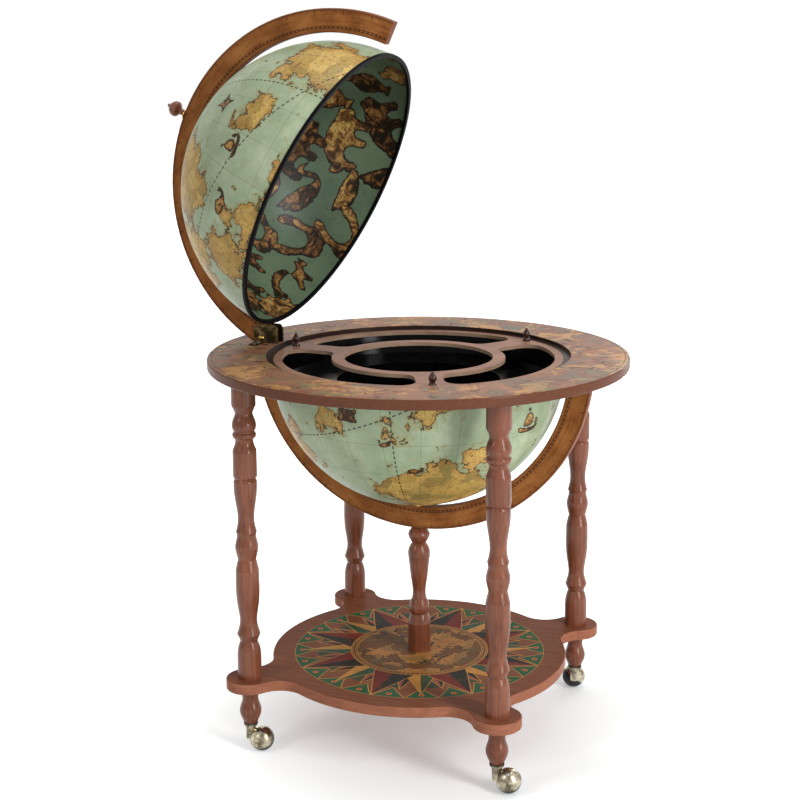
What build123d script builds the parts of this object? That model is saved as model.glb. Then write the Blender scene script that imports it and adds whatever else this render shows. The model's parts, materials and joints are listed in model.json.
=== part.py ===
from build123d import *
import os
from math import acos, cos, degrees, radians, sin, sqrt

# Globe bar on casters: a table ring on four turned legs holds the lower half of a globe, and the upper half
# is a lid on a hinge. Millimetres. +Z is up, the floor is z = 0, and the origin is on the floor under the
# middle of the ring. The hinge is at the back (+Y). The lid is modelled open, turned back by open_angle.

# ---- driving dimensions -----------------------------------------------------------------------------------
dome_radius = 248.5      # the lid's half of the globe; ring, tray, bowl, arcs and hinge follow it
fit_gap = 0.1            # play between pieces that fit into each other and stay put
run_gap = 0.05           # radial play of a shaft in its bush
clear = 0.3              # gap between pieces that pass or lie beside each other

ball_radius = 20.0       # caster ball wheel
caster_height = 48.0     # floor to underside of the foot
caster_trail = 19.0      # caster stem axis to ball centre
caster_tilt = 52.0       # wheel axle above the horizontal, degrees
swivel_turn = {"front_left": -80.0, "back_left": -80.0, "front_right": 22.0, "back_right": -40.0}

foot_height = 62.0
foot_radius = 18.0
leg_length = 505.0       # shelf top to underside of the ring
leg_radius = 19.8
leg_circle = 306.4       # leg axes from the middle of the ring
leg_angle = {"front_right": -45.0, "back_right": 45.0, "back_left": 135.0, "front_left": -135.0}
tenon_radius = 9.0
tenon_length = 10.0
stud_radius = 4.0
stud_in_leg = 35.0
stud_in_foot = 24.0

shelf_thickness = 18.0
shelf_radius = 252.0     # round middle of the shelf
lobe_radius = 39.0       # round lobe under each leg
cove_radius = 42.0       # hollow between the lobe and the round middle
board_round = 2.0        # rounding of board edges

ring_thickness = 17.0
ring_radius = 351.0
ring_round = 3.0
rim_recess_gap = 4.2     # recess in the ring's top, wider than the lid's rim by this much
rim_recess_depth = 6.0
ledge_width = 12.0       # ledge that the lid's rim comes down on
lip_width = 6.0          # lip under the tray's flange

insert_thickness = 6.0
insert_turn = -3.0       # the loose insert stands a little off the hinge line, degrees
well_hole_radius = 124.5
web_outer_radius = 145.0
pocket_margin = 14.5     # board left outside the glass pockets
pocket_bridge = 44.5     # bridge between two glass pockets
pocket_round = 26.0
knob_inset = 10.0        # knob axes from the edge of the insert's seat
knob_height = 23.0
knob_radius = 6.6

tray_wall = 2.0
flange_thickness = 1.5
glass_depth = 38.0       # insert top down to the glass shelf
well_depth = 128.0       # insert top down to the floor of the bottle well
well_top_radius = 137.0
well_bottom_radius = 129.0
tray_draft = 6.0         # the outer tray wall leans in by this much

bowl_inset = 2.5         # the bowl is smaller than the dome by this much
bowl_wall = 3.0

arc_gap = 15.0           # meridian arcs outside the dome
arc_width = 39.2
arc_thickness = 16.0
arc_round = 1.2

post_radius = 19.4
post_tenon_radius = 8.0

dome_wall = 3.0
lining_wall = 1.0
trim_rim = 1.3           # trim outside the dome
trim_web = 1.4           # trim under the dome's edge
trim_lip_wall = 1.0      # its inner lip
trim_lip = 4.0           # how far its lips grip the dome
trim_seat_gap = 0.6      # closed trim above the floor of its recess
arc_end_gap = 2.5        # closed arc end above the ring's top
open_angle = 65.5

pin_inset = 15.9         # hinge pin inside the outer edge of the arcs
hinge_height = 8.2       # hinge pin above the ring's top
pin_radius = 3.2
bush_wall = 1.5
heel_radius = 7.8        # rounded end of the upper arc about the pin
ear_thickness = 3.0
ear_height = 31.0
ear_sweep = 35.0         # ears stay this close to the pin, inside the dome's path
ear_gap = 1.0            # between arc and ear
pin_head_radius = 5.6
strap_length = 30.0
strap_width = 15.0
strap_thickness = 2.0
screw_radius = 1.9
screw_length = 11.0

rod_radius = 3.0         # pole rod and bowl bolt
spacer_radius = 9.0
collar_radius = 10.0
collar_height = 5.0
finial_height = 38.0
finial_radius = 13.2

# ---- heights and places that follow -----------------------------------------------------------------------
trim_outer = dome_radius + trim_rim
rim_recess_radius = trim_outer + rim_recess_gap
seat_radius = rim_recess_radius - ledge_width      # pocket for the insert and the tray's flange
lip_radius = seat_radius - lip_width
pocket_outer_radius = seat_radius - pocket_margin
knob_circle = seat_radius - knob_inset
bowl_radius = dome_radius - bowl_inset
arc_inner = dome_radius + arc_gap
arc_outer = arc_inner + arc_width
hinge_y = arc_outer - pin_inset
shelf_bottom = caster_height + foot_height
shelf_top = shelf_bottom + shelf_thickness
ring_bottom = shelf_top + leg_length
ring_top = ring_bottom + ring_thickness
insert_top = ring_top - rim_recess_depth
insert_bottom = insert_top - insert_thickness
flange_bottom = insert_bottom - flange_thickness
ring_middle = ring_bottom + ring_thickness / 2     # the bowl and the closed upper arc are centred here
hinge_z = ring_top + hinge_height
trim_bottom = insert_top + trim_seat_gap
dome_center = trim_bottom + trim_web
lining_outer = dome_radius - dome_wall - fit_gap
lining_inner = lining_outer - lining_wall
trim_slot_inner = sqrt(lining_inner**2 - trim_lip**2) - fit_gap
trim_inner = trim_slot_inner - trim_lip_wall

os.makedirs("parts", exist_ok=True)
parts = {}


def save(name, shape):
    """Write one piece to its own STEP file."""
    shape.label = name
    parts[name] = shape
    export_step(shape, "parts/" + name + ".step")
    print(name, "volume", round(shape.volume / 1000, 2), "cm3")


# ---- helpers ----------------------------------------------------------------------------------------------
def rod(radius, z_low, z_high, x=0.0, y=0.0):
    """Upright cylinder between two heights."""
    return Pos(x, y, (z_low + z_high) / 2) * Cylinder(radius, z_high - z_low)


def along_x(radius, x_low, x_high, y, z):
    """Cylinder along X between two stations."""
    return Pos((x_low + x_high) / 2, y, z) * Rot(0, 90, 0) * Cylinder(radius, x_high - x_low)


def block(x_low, x_high, y_low, y_high, z_low, z_high):
    """Box between its corners."""
    size = (x_high - x_low, y_high - y_low, z_high - z_low)
    return Pos((x_low + x_high) / 2, (y_low + y_high) / 2, (z_low + z_high) / 2) * Box(*size)


def turned(runs):
    """Solid of revolution about Z from runs of (radius, z): two points make a line, more make a curve."""
    edges = []
    for run in runs:
        points = [Vector(radius, 0, z) for radius, z in run]
        edges.append(Line(*points) if len(points) == 2 else Spline(*points))
    low, high = runs[0][0], runs[-1][-1]
    edges.append(Line((high[0], 0, high[1]), (0, 0, high[1])))
    edges.append(Line((0, 0, high[1]), (0, 0, low[1])))
    edges.append(Line((0, 0, low[1]), (low[0], 0, low[1])))
    return revolve(make_face(edges), Axis.Z)


def swept_round(points):
    """Ring-shaped or cup-shaped solid from a closed outline of (radius, z) corners."""
    outline = Polyline(*[(radius, 0, z) for radius, z in points], close=True)
    return revolve(make_face(outline), Axis.Z)


def domed(radius, bulge):
    """Low round-topped head that stands on z = 0."""
    ball = (radius**2 + bulge**2) / (2 * bulge)
    half_way = acos((ball - bulge) / ball) / 2
    middle = (ball * sin(half_way), 0, bulge - ball + ball * cos(half_way))
    top = ThreePointArc((radius, 0, 0), middle, (0, 0, bulge))
    return revolve(make_face([top, Line((0, 0, bulge), (0, 0, 0)), Line((0, 0, 0), (radius, 0, 0))]), Axis.Z)


def half_shell(outer, inner, center_z, upward):
    """Hemispherical shell about (0, 0, center_z), with its open side on the centre plane."""
    side = 1 if upward else -1
    keep = Pos(0, 0, center_z + side * outer) * Box(3 * outer, 3 * outer, 2 * outer)
    return Pos(0, 0, center_z) * (Sphere(outer) - Sphere(inner)) & keep


def at_leg(name, shape):
    """Move a piece modelled on the Z axis to a leg's axis."""
    turn = radians(leg_angle[name])
    return Pos(leg_circle * cos(turn), leg_circle * sin(turn), 0) * shape


def opened(shape):
    """Turn a lid piece from its closed place to the open one."""
    return shape.rotate(Axis((0, hinge_y, hinge_z), (1, 0, 0)), -open_angle)


# ---- turned profiles: (share of the length from the top, share of the largest radius) ---------------------
leg_profile = [
    [(0.0, 1.0), (0.085, 1.0)],
    [(0.085, 1.0), (0.098, 0.85), (0.111, 0.735), (0.128, 0.86), (0.152, 1.0), (0.169, 0.86)],
    [(0.169, 0.86), (0.173, 0.86)],
    [(0.173, 0.86), (0.177, 0.96), (0.183, 0.975), (0.189, 0.94)],
    [(0.189, 0.94), (0.202, 0.75), (0.214, 0.80), (0.238, 0.99)],
    [(0.238, 0.99), (0.318, 0.995)],
    [(0.318, 0.995), (0.323, 0.94), (0.327, 0.865)],
    [(0.327, 0.865), (0.333, 0.95), (0.341, 0.97)],
    [(0.341, 0.97), (0.352, 0.975), (0.41, 0.82), (0.469, 0.695), (0.488, 0.77), (0.503, 0.875)],
    [(0.503, 0.875), (0.521, 0.81), (0.552, 0.97), (0.575, 0.89), (0.596, 0.76)],
    [(0.596, 0.76), (0.612, 0.86), (0.632, 0.975)],
    [(0.632, 0.975), (0.668, 0.99), (0.709, 0.985), (0.762, 0.85), (0.814, 0.735), (0.832, 0.84),
     (0.85, 0.975)],
    [(0.85, 0.975), (0.862, 0.84), (0.875, 0.715)],
    [(0.875, 0.715), (0.890, 0.87), (0.907, 0.96), (0.93, 0.995)],
    [(0.93, 0.995), (1.0, 1.0)],
]
post_profile = [
    [(0.0, 0.56), (0.025, 0.80), (0.06, 0.965), (0.09, 0.85), (0.128, 0.62)],
    [(0.128, 0.62), (0.155, 0.82), (0.188, 0.96), (0.26, 0.93), (0.40, 0.75), (0.53, 0.585), (0.58, 0.66)],
    [(0.58, 0.66), (0.615, 0.84), (0.65, 0.89), (0.68, 0.88)],
    [(0.68, 0.88), (0.70, 0.77)],
    [(0.70, 0.77), (0.73, 0.88), (0.775, 0.985)],
    [(0.775, 0.985), (1.0, 1.0)],
]
foot_profile = [
    [(0.0, 0.93), (0.06, 0.90)],
    [(0.06, 0.90), (0.20, 0.78), (0.33, 0.735), (0.48, 0.87), (0.65, 1.0), (0.85, 0.83), (1.0, 0.58)],
]
knob_profile = [
    [(0.0, 0.12), (0.06, 0.36), (0.14, 0.45)],
    [(0.14, 0.45), (0.30, 0.82), (0.48, 0.97), (0.64, 0.80), (0.72, 0.60)],
    [(0.72, 0.60), (0.80, 0.88)],
    [(0.80, 0.88), (0.88, 1.0), (1.0, 1.0)],
]
collar_profile = [
    [(0.0, 0.55), (0.45, 0.78), (0.60, 1.0)],
    [(0.60, 1.0), (1.0, 1.0)],
]
finial_profile = [
    [(0.0, 0.10), (0.05, 0.24), (0.10, 0.26)],
    [(0.10, 0.26), (0.16, 0.42), (0.28, 0.78), (0.45, 1.0), (0.62, 0.96), (0.74, 0.62), (0.80, 0.42)],
    [(0.80, 0.42), (1.0, 0.40)],
]


def from_profile(profile, top, length, radius):
    """Turned solid from a profile of shares, standing from top - length up to top."""
    runs = [[(share * radius, top - part * length) for part, share in run] for run in profile]
    upward = [list(reversed(run)) for run in reversed(runs)]
    return turned(upward)


# ---- table ring -------------------------------------------------------------------------------------------
dowel_radius = 4.0
dowel_in_ring = 9.0
dowel_in_arc = 16.0
dowel_spread = 9.0       # each arc end has two dowels, this far from the middle of its width
arc_middle = (arc_inner + arc_outer) / 2
dowel_stations = [side * (arc_middle + shift) for side in (-1, 1) for shift in (-dowel_spread, dowel_spread)]
strap_shift = 1.5        # straps lie this far behind the pin
screw_shares = (0.27, 0.78)  # the two screws along each strap
screw_y = hinge_y + strap_shift
ear_inner = arc_thickness / 2 + ear_gap
ear_outer = ear_inner + ear_thickness
screw_stations = [side * (ear_outer + strap_length * share) for side in (-1, 1) for share in screw_shares]

ring = swept_round([
    (lip_radius, ring_bottom), (ring_radius, ring_bottom), (ring_radius, ring_top),
    (rim_recess_radius, ring_top), (rim_recess_radius, insert_top), (seat_radius, insert_top),
    (seat_radius, flange_bottom), (lip_radius, flange_bottom)])
outer_edges = [e for e in ring.edges().filter_by(GeomType.CIRCLE) if abs(e.radius - ring_radius) < 0.01]
ring = fillet(outer_edges, ring_round)
for leg in leg_angle:
    ring -= at_leg(leg, rod(tenon_radius + fit_gap, ring_bottom, ring_bottom + tenon_length + clear))
for y in dowel_stations:
    ring -= rod(dowel_radius, ring_bottom, ring_bottom + dowel_in_ring, 0, y)
for x in screw_stations:
    ring -= rod(screw_radius, ring_top - screw_length + strap_thickness, ring_top, x, screw_y)
save("table_ring", ring)

# ---- legs, studs and feet ---------------------------------------------------------------------------------
for leg in leg_angle:
    turned_leg = from_profile(leg_profile, ring_bottom, leg_length, leg_radius)
    turned_leg += rod(tenon_radius, ring_bottom, ring_bottom + tenon_length)
    turned_leg -= rod(stud_radius, shelf_top, shelf_top + stud_in_leg)
    save("leg_" + leg, at_leg(leg, turned_leg))

stem_length = 28.0       # caster stem inside its socket
stem_radius = 4.0
socket_wall = 2.0
socket_flange_radius = 12.0
socket_flange = 2.5
stem_bore = stem_radius + run_gap
socket_radius = stem_bore + socket_wall
socket_top = caster_height + stem_length + clear
for leg in leg_angle:
    foot = from_profile(foot_profile, shelf_bottom, foot_height, foot_radius)
    foot -= rod(stud_radius, shelf_bottom - stud_in_foot, shelf_bottom)
    foot -= rod(socket_radius, caster_height, socket_top + clear)
    save("foot_" + leg, at_leg(leg, foot))
    save("stud_" + leg, at_leg(leg, rod(stud_radius, shelf_bottom - stud_in_foot, shelf_top + stud_in_leg)))

# ---- casters ----------------------------------------------------------------------------------------------
hood_radius = ball_radius + 0.5
hood_wall = 1.8
face_offset = 1.0        # wheel's flat face from the ball's middle, along the axle
split_gap = 0.6          # between that face and the hood's rim
hood_rim = face_offset + split_gap
axle_radius = 2.5
axle_in_wheel = 13.0
axle_head_radius = 3.7
axle_head_bulge = 1.8
boss_radius = 5.0        # boss inside the hood, about the axle
neck_radius = 8.0
neck_flange = 2.0
arm_width = 9.0          # arm between the neck and the hood
arm_height = 8.0
arm_level = 9.5          # its middle above the ball's middle
ball_middle = Pos(caster_trail, 0, ball_radius)
tilted = ball_middle * Rot(90 - caster_tilt, 0, 0)     # local Z along the axle, up and to the caster's right
flange_low = caster_height - socket_flange
neck_top = flange_low - clear


def slab(low, high):
    """Wide slab between two stations along local Z."""
    return Pos(0, 0, (low + high) / 2) * Box(6 * ball_radius, 6 * ball_radius, high - low)


def at_caster(name, shape):
    """Move a caster piece modelled with its trail along +X to its leg."""
    return at_leg(name, Rot(0, 0, swivel_turn[name]) * shape)


axle_hole = rod(axle_radius, 0, 2 * hood_radius)
hood = (Sphere(hood_radius) - Sphere(hood_radius - hood_wall)) & slab(hood_rim, 2 * hood_radius)
hood += rod(boss_radius, hood_rim, hood_radius - hood_wall / 2)
neck = rod(neck_radius, ball_radius, neck_top)
neck += rod(socket_flange_radius - 1.0, neck_top - neck_flange, neck_top)
arm_length = caster_trail + boss_radius
arm = Pos(caster_trail / 2, 0, ball_radius + arm_level) * Box(arm_length, arm_width, arm_height)
wheel_room = tilted * (Sphere(hood_radius + split_gap) & slab(-2 * hood_radius, hood_rim))
caster_frame = (neck + arm) - ball_middle * Sphere(hood_radius - hood_wall / 2) - wheel_room
caster_frame += tilted * hood
caster_frame += rod(stem_radius, neck_top - neck_flange, caster_height + stem_length)
caster_frame -= tilted * axle_hole
wheel = Sphere(ball_radius) & slab(-2 * ball_radius, face_offset)
wheel -= rod(axle_radius + run_gap, -axle_in_wheel - clear, 2 * face_offset)
axle = rod(axle_radius, -axle_in_wheel, hood_radius)
axle_head = Pos(0, 0, hood_radius - axle_head_bulge / 2) * domed(axle_head_radius, 1.5 * axle_head_bulge)
axle += axle_head - Sphere(hood_radius)
socket = rod(socket_radius, caster_height, socket_top)
socket += rod(socket_flange_radius, flange_low, caster_height)
socket -= rod(stem_bore, flange_low - 1, socket_top + 1)
for leg in leg_angle:
    save("caster_socket_" + leg, at_leg(leg, socket))
    save("caster_frame_" + leg, at_caster(leg, caster_frame))
    save("caster_wheel_" + leg, at_caster(leg, tilted * wheel))
    save("caster_axle_" + leg, at_caster(leg, tilted * axle))

# ---- shelf ------------------------------------------------------------------------------------------------
post_tenon = 9.0


def shelf_outline():
    """Round board with four round lobes, joined by coves that are tangent to both."""
    cove_center = shelf_radius + cove_radius
    reach = lobe_radius + cove_radius
    half_turn = degrees(acos((cove_center**2 + leg_circle**2 - reach**2) / (2 * cove_center * leg_circle)))
    board = Circle(shelf_radius)
    for angle in leg_angle.values():
        board += Rot(0, 0, angle) * Pos(leg_circle, 0) * Circle(lobe_radius)
        corners = [(0, 0), (leg_circle, 0)]
        for side in (-1, 1):
            turn = radians(side * half_turn)
            hollow = (cove_center * cos(turn), cove_center * sin(turn))
            wedge = make_face(Polyline(*corners, hollow, close=True))
            board += Rot(0, 0, angle) * (wedge - Pos(*hollow) * Circle(cove_radius))
    return board


shelf = Pos(0, 0, shelf_bottom) * extrude(shelf_outline(), shelf_thickness)
for level in (shelf_top, shelf_bottom):
    rim = [e for e in shelf.edges() if abs(e.center().Z - level) < 0.01 and e.length > 5]
    shelf = fillet(rim, board_round)
for leg in leg_angle:
    shelf -= at_leg(leg, rod(stud_radius + fit_gap, shelf_bottom, shelf_top))
shelf -= rod(post_tenon_radius + fit_gap, shelf_top - post_tenon - clear, shelf_top)
save("shelf", shelf)

# ---- lower arc, centre post, bowl and bolt ----------------------------------------------------------------
def across(radius, length, center_z):
    """Cylinder that lies along X, with its middle on the Z axis."""
    return Pos(0, 0, center_z) * Rot(0, 90, 0) * Cylinder(radius, length)


def arc_band(center_z, keep):
    """Part of the flat meridian ring about center_z that lies inside the solid named keep."""
    band = across(arc_outer, arc_thickness, center_z) - across(arc_inner, arc_thickness, center_z)
    return fillet(band.edges().filter_by(GeomType.CIRCLE), arc_round) & keep


wide = 3 * arc_outer
bolt_head = 2.5
bolt_in_post = 32.0
post_top = ring_top - arc_outer
post_height = post_top + 1.0 - shelf_top
spacer_low = ring_top - arc_inner
bowl_bottom = ring_middle - bowl_radius
lower_arc = arc_band(ring_top, block(-wide, wide, -wide, wide, ring_bottom - wide, ring_bottom))
for y in dowel_stations:
    lower_arc -= rod(dowel_radius, ring_bottom - dowel_in_arc, ring_bottom, 0, y)
lower_arc -= rod(rod_radius + fit_gap, post_top - 5, spacer_low + 5)
save("lower_arc", lower_arc)
dowel = rod(dowel_radius, ring_bottom - dowel_in_arc, ring_bottom + dowel_in_ring)
save("arc_dowels", Compound(children=[Pos(0, y, 0) * dowel for y in dowel_stations]))

post = from_profile(post_profile, shelf_top + post_height, post_height, post_radius)
post -= across(arc_outer, 4 * post_radius, ring_top)
post += rod(post_tenon_radius, shelf_top - post_tenon, shelf_top)
post -= rod(rod_radius, post_top - bolt_in_post, post_top + 5)
save("centre_post", post)

bowl = half_shell(bowl_radius, bowl_radius - bowl_wall, ring_middle, False)
bowl &= block(-wide, wide, -wide, wide, ring_bottom - wide, ring_bottom)
bowl -= rod(rod_radius + fit_gap, bowl_bottom - 5, bowl_bottom + 20)
save("bowl", bowl)
bowl_spacer = rod(spacer_radius, spacer_low - 1, bowl_bottom + 1)
bowl_spacer -= Pos(0, 0, ring_middle) * Sphere(bowl_radius)
bowl_spacer &= across(arc_inner, 4 * spacer_radius, ring_top)
bowl_spacer -= rod(rod_radius + fit_gap, spacer_low - 5, bowl_bottom + 5)
save("bowl_spacer", bowl_spacer)
head_seat = bowl_bottom + bowl_wall
bowl_bolt = rod(rod_radius, post_top - bolt_in_post, head_seat + bolt_head)
bowl_bolt += rod(3 * rod_radius, head_seat + clear, head_seat + clear + bolt_head)
save("bowl_bolt", bowl_bolt)

# ---- inner tray -------------------------------------------------------------------------------------------
glass_floor = insert_top - glass_depth
well_floor = insert_top - well_depth
tray_outer = lip_radius - clear
flange_outer = seat_radius - clear
tray = swept_round([
    (0, well_floor - tray_wall), (well_bottom_radius + tray_wall, well_floor - tray_wall),
    (well_top_radius + tray_wall, glass_floor - tray_wall),
    (tray_outer - tray_draft, glass_floor - tray_wall),
    (tray_outer, flange_bottom), (flange_outer, flange_bottom), (flange_outer, insert_bottom),
    (tray_outer - tray_wall, insert_bottom), (tray_outer - tray_wall - tray_draft, glass_floor),
    (well_top_radius, glass_floor), (well_bottom_radius, well_floor), (0, well_floor)])
save("inner_tray", tray)

# ---- insert and its knobs ---------------------------------------------------------------------------------
bridge_angles = [90 + insert_turn + 120 * i for i in range(3)]
pockets = Circle(pocket_outer_radius) - Circle(web_outer_radius)
bridge = Pos(pocket_outer_radius, 0) * Rectangle(2 * pocket_outer_radius, pocket_bridge)
for angle in bridge_angles:
    pockets -= Rot(0, 0, angle) * bridge
pocket_corner = min(pocket_round, 0.45 * (pocket_outer_radius - web_outer_radius))
pockets = fillet(pockets.vertices(), pocket_corner)
insert = Circle(seat_radius - clear) - Circle(well_hole_radius) - pockets
insert = Pos(0, 0, insert_bottom) * extrude(insert, insert_thickness)
knob_screw_radius = 2.0
for i, angle in enumerate(bridge_angles):
    turn = radians(angle)
    place = (knob_circle * cos(turn), knob_circle * sin(turn))
    insert -= rod(knob_screw_radius, insert_bottom, insert_top, *place)
    knob = from_profile(knob_profile, insert_top + knob_height, knob_height, knob_radius)
    knob += rod(knob_screw_radius, insert_bottom, insert_top)
    save("insert_knob_" + str(i + 1), Pos(*place, 0) * knob)
save("bottle_insert", insert)

# ---- lid: dome, lining and rim trim (modelled closed, then turned open) -----------------------------------
dome_pole = dome_center + dome_radius
pole_bore = rod(rod_radius + fit_gap, dome_center, dome_pole + dome_wall)
dome = half_shell(dome_radius, dome_radius - dome_wall, dome_center, True) - pole_bore
save("lid_dome", opened(dome))
lining = half_shell(lining_outer, lining_inner, dome_center, True) - pole_bore
save("lid_lining", opened(lining))
lip_top = dome_center + trim_lip
trim = swept_round([
    (trim_inner, trim_bottom), (trim_outer, trim_bottom), (trim_outer, lip_top), (dome_radius, lip_top),
    (dome_radius, dome_center), (trim_slot_inner, dome_center), (trim_slot_inner, lip_top),
    (trim_inner, lip_top)])
save("lid_rim_trim", opened(trim))

# ---- lid: upper arc with its rounded heel -----------------------------------------------------------------
front_part = block(-wide, wide, -wide, 0, ring_top + arc_end_gap, ring_top + wide)
back_part = block(-wide, wide, 0, hinge_y, hinge_z - heel_radius, ring_top + wide)
at_pin = Pos(0, hinge_y, hinge_z)
open_side = at_pin * Rot(open_angle, 0, 0) * block(-wide, wide, -wide, wide, -heel_radius, wide)
heel_part = block(-wide, wide, hinge_y, wide, hinge_z - heel_radius, ring_top + wide) & open_side
upper_arc = arc_band(ring_middle, front_part + back_part + heel_part)
half_turn = radians(open_angle / 2)
corner_half = heel_radius * sin(half_turn)
corner = at_pin * Rot(open_angle / 2, 0, 0) * block(
    -wide, wide, -corner_half, corner_half, -2 * heel_radius, -heel_radius * cos(half_turn))
upper_arc -= corner - along_x(heel_radius, -wide, wide, hinge_y, hinge_z)
bush_radius = pin_radius + run_gap + bush_wall
upper_arc -= along_x(bush_radius, -wide, wide, hinge_y, hinge_z)
upper_arc -= rod(rod_radius + fit_gap, ring_middle + arc_inner - 5, ring_middle + arc_outer + 5)
save("upper_arc", opened(upper_arc))
bush_half = arc_thickness / 2 + ear_gap / 2
bush = along_x(bush_radius, -bush_half, bush_half, hinge_y, hinge_z)
bush -= along_x(pin_radius + run_gap, -wide, wide, hinge_y, hinge_z)
save("hinge_bush", opened(bush))

# ---- lid: block that ties dome and arc at the hinge, pole rod, spacer, collar, finial ----------------------
tie_level = 8.0          # closed block's underside above the ring's top
tie_height = 24.0
tie_low = ring_top + tie_level
tie_high = tie_low + tie_height
tie = block(-arc_thickness / 2, arc_thickness / 2, trim_inner, arc_outer, tie_low, tie_high)
tie -= Pos(0, 0, dome_center) * Sphere(dome_radius)
tie -= rod(trim_outer + clear, trim_bottom, lip_top + clear)
tie &= across(arc_inner, 4 * arc_thickness, ring_middle)
save("lid_hinge_block", opened(tie))

pole_outer = ring_middle + arc_outer
pole_inner = ring_middle + arc_inner
pole_spacer = rod(spacer_radius, dome_pole - 2, pole_inner + 2)
pole_spacer -= Pos(0, 0, dome_center) * Sphere(dome_radius)
pole_spacer &= across(arc_inner, 4 * spacer_radius, ring_middle)
pole_spacer -= rod(rod_radius + fit_gap, dome_pole - 5, pole_inner + 5)
save("pole_spacer", opened(pole_spacer))
collar = from_profile(collar_profile, pole_outer + collar_height, collar_height + 1.0, collar_radius)
collar -= across(arc_outer, 4 * collar_radius, ring_middle)
collar -= rod(rod_radius + fit_gap, pole_outer - collar_height, pole_outer + 2 * collar_height)
save("pole_collar", opened(collar))
finial_low = pole_outer + collar_height
finial_top = pole_outer + finial_height
rod_in_finial = 14.0
finial = from_profile(finial_profile, finial_top, finial_top - finial_low, finial_radius)
finial -= rod(rod_radius, finial_low - 1, finial_low + rod_in_finial)
save("pole_finial", opened(finial))
lining_pole = dome_center + lining_inner
nut_height = 3.0
nut_radius = 7.2
rod_low = lining_pole - 1.5 * nut_height
pole_rod = rod(rod_radius, rod_low, finial_low + rod_in_finial)
save("pole_rod", opened(pole_rod))
nut = rod(nut_radius, lining_pole - nut_height - clear, lining_pole - clear)
nut -= rod(rod_radius, rod_low, lining_pole)
save("pole_nut", opened(nut))

# ---- hinge: ears, pin, screws -----------------------------------------------------------------------------
ear_round = 8.0
ear_front = rim_recess_radius + 2.0
ear_back = hinge_y + 14.0
ear_middle = ((ear_front + ear_back) / 2, ring_top + ear_height / 2)
ear_plate = Pos(*ear_middle) * Rectangle(ear_back - ear_front, ear_height)
ear_plate = fillet(ear_plate.vertices().sort_by(Axis.Y)[2:], ear_round)
ear_plate &= Pos(hinge_y, hinge_z) * Circle(ear_sweep)
for side, name in ((-1, "left"), (1, "right")):
    low_x, high_x = sorted((side * ear_inner, side * ear_outer))
    ear = Pos(low_x, 0, 0) * extrude(Plane.YZ * ear_plate, ear_thickness)
    strap_x = sorted((side * ear_inner, side * (ear_outer + strap_length)))
    strap = block(*strap_x, screw_y - strap_width / 2, screw_y + strap_width / 2,
                  ring_top, ring_top + strap_thickness)
    bracket = ear + strap
    bracket -= along_x(pin_radius, low_x, high_x, hinge_y, hinge_z)
    for x in screw_stations:
        bracket -= rod(screw_radius, ring_top, ring_top + strap_thickness, x, screw_y)
    save("hinge_bracket_" + name, bracket)

pin_bulge = 4.0
upright_pin = rod(pin_radius, -ear_outer, ear_outer)
for turn in (0, 180):
    upright_pin += Rot(turn, 0, 0) * Pos(0, 0, ear_outer) * domed(pin_head_radius, pin_bulge)
save("hinge_pin", at_pin * Rot(0, 90, 0) * upright_pin)

screw_head = 1.6 * screw_radius
screw_head_height = 1.0
strap_top = ring_top + strap_thickness
screw = rod(screw_radius, strap_top - screw_length, strap_top)
screw += rod(screw_head, strap_top, strap_top + screw_head_height)
save("hinge_screws", Compound(children=[Pos(x, screw_y, 0) * screw for x in screw_stations]))

low = min(shape.bounding_box().min.Z for shape in parts.values())
high = max(shape.bounding_box().max.Z for shape in parts.values())
print(len(parts), "pieces, from z", round(low, 2), "to", round(high, 2))
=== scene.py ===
# %% [markdown]
# # Dressing a globe bar
# A globe bar is a drinks cabinet shaped like a library globe. A wooden ring on four turned legs carries the
# lower half of the globe, and the upper half is the lid. This file takes the finished solids as they are and
# gives them their looks: lacquered wood, printed maps, brass and moulded plastic. Nothing is moved or
# resized. A piece whose surface needs more than its solid can carry is modelled again in the same place.

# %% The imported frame
import json
from math import acos, asin, cos, degrees, pi, radians, sin

import bmesh
import bpy
import numpy as np
from mathutils import Matrix, Vector


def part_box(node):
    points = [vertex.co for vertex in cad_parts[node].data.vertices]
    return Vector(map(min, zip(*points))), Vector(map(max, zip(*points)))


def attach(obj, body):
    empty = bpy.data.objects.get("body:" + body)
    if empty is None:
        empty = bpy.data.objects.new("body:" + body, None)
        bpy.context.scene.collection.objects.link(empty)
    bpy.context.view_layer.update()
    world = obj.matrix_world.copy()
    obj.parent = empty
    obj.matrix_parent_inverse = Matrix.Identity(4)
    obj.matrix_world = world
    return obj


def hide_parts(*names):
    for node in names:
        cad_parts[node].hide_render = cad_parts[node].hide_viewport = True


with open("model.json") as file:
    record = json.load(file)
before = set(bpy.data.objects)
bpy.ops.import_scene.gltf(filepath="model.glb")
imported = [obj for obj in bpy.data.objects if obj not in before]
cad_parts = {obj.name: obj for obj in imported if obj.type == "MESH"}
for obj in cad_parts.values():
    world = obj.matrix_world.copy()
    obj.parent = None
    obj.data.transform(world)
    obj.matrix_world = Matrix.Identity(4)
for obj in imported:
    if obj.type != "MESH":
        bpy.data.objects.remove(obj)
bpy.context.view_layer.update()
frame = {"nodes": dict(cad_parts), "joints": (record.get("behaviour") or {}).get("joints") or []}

nodes = frame["nodes"]

# %% [markdown]
# ## Where the parts of the globe are
# Most sizes below are read from the solids, so that a pattern stays on its piece if a size changes. The lid
# stands open, so its own axis leans back. A point on the lid is found by turning its closed place about the
# hinge, and the hinge and its travel are in the frame's list of joints.

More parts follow.
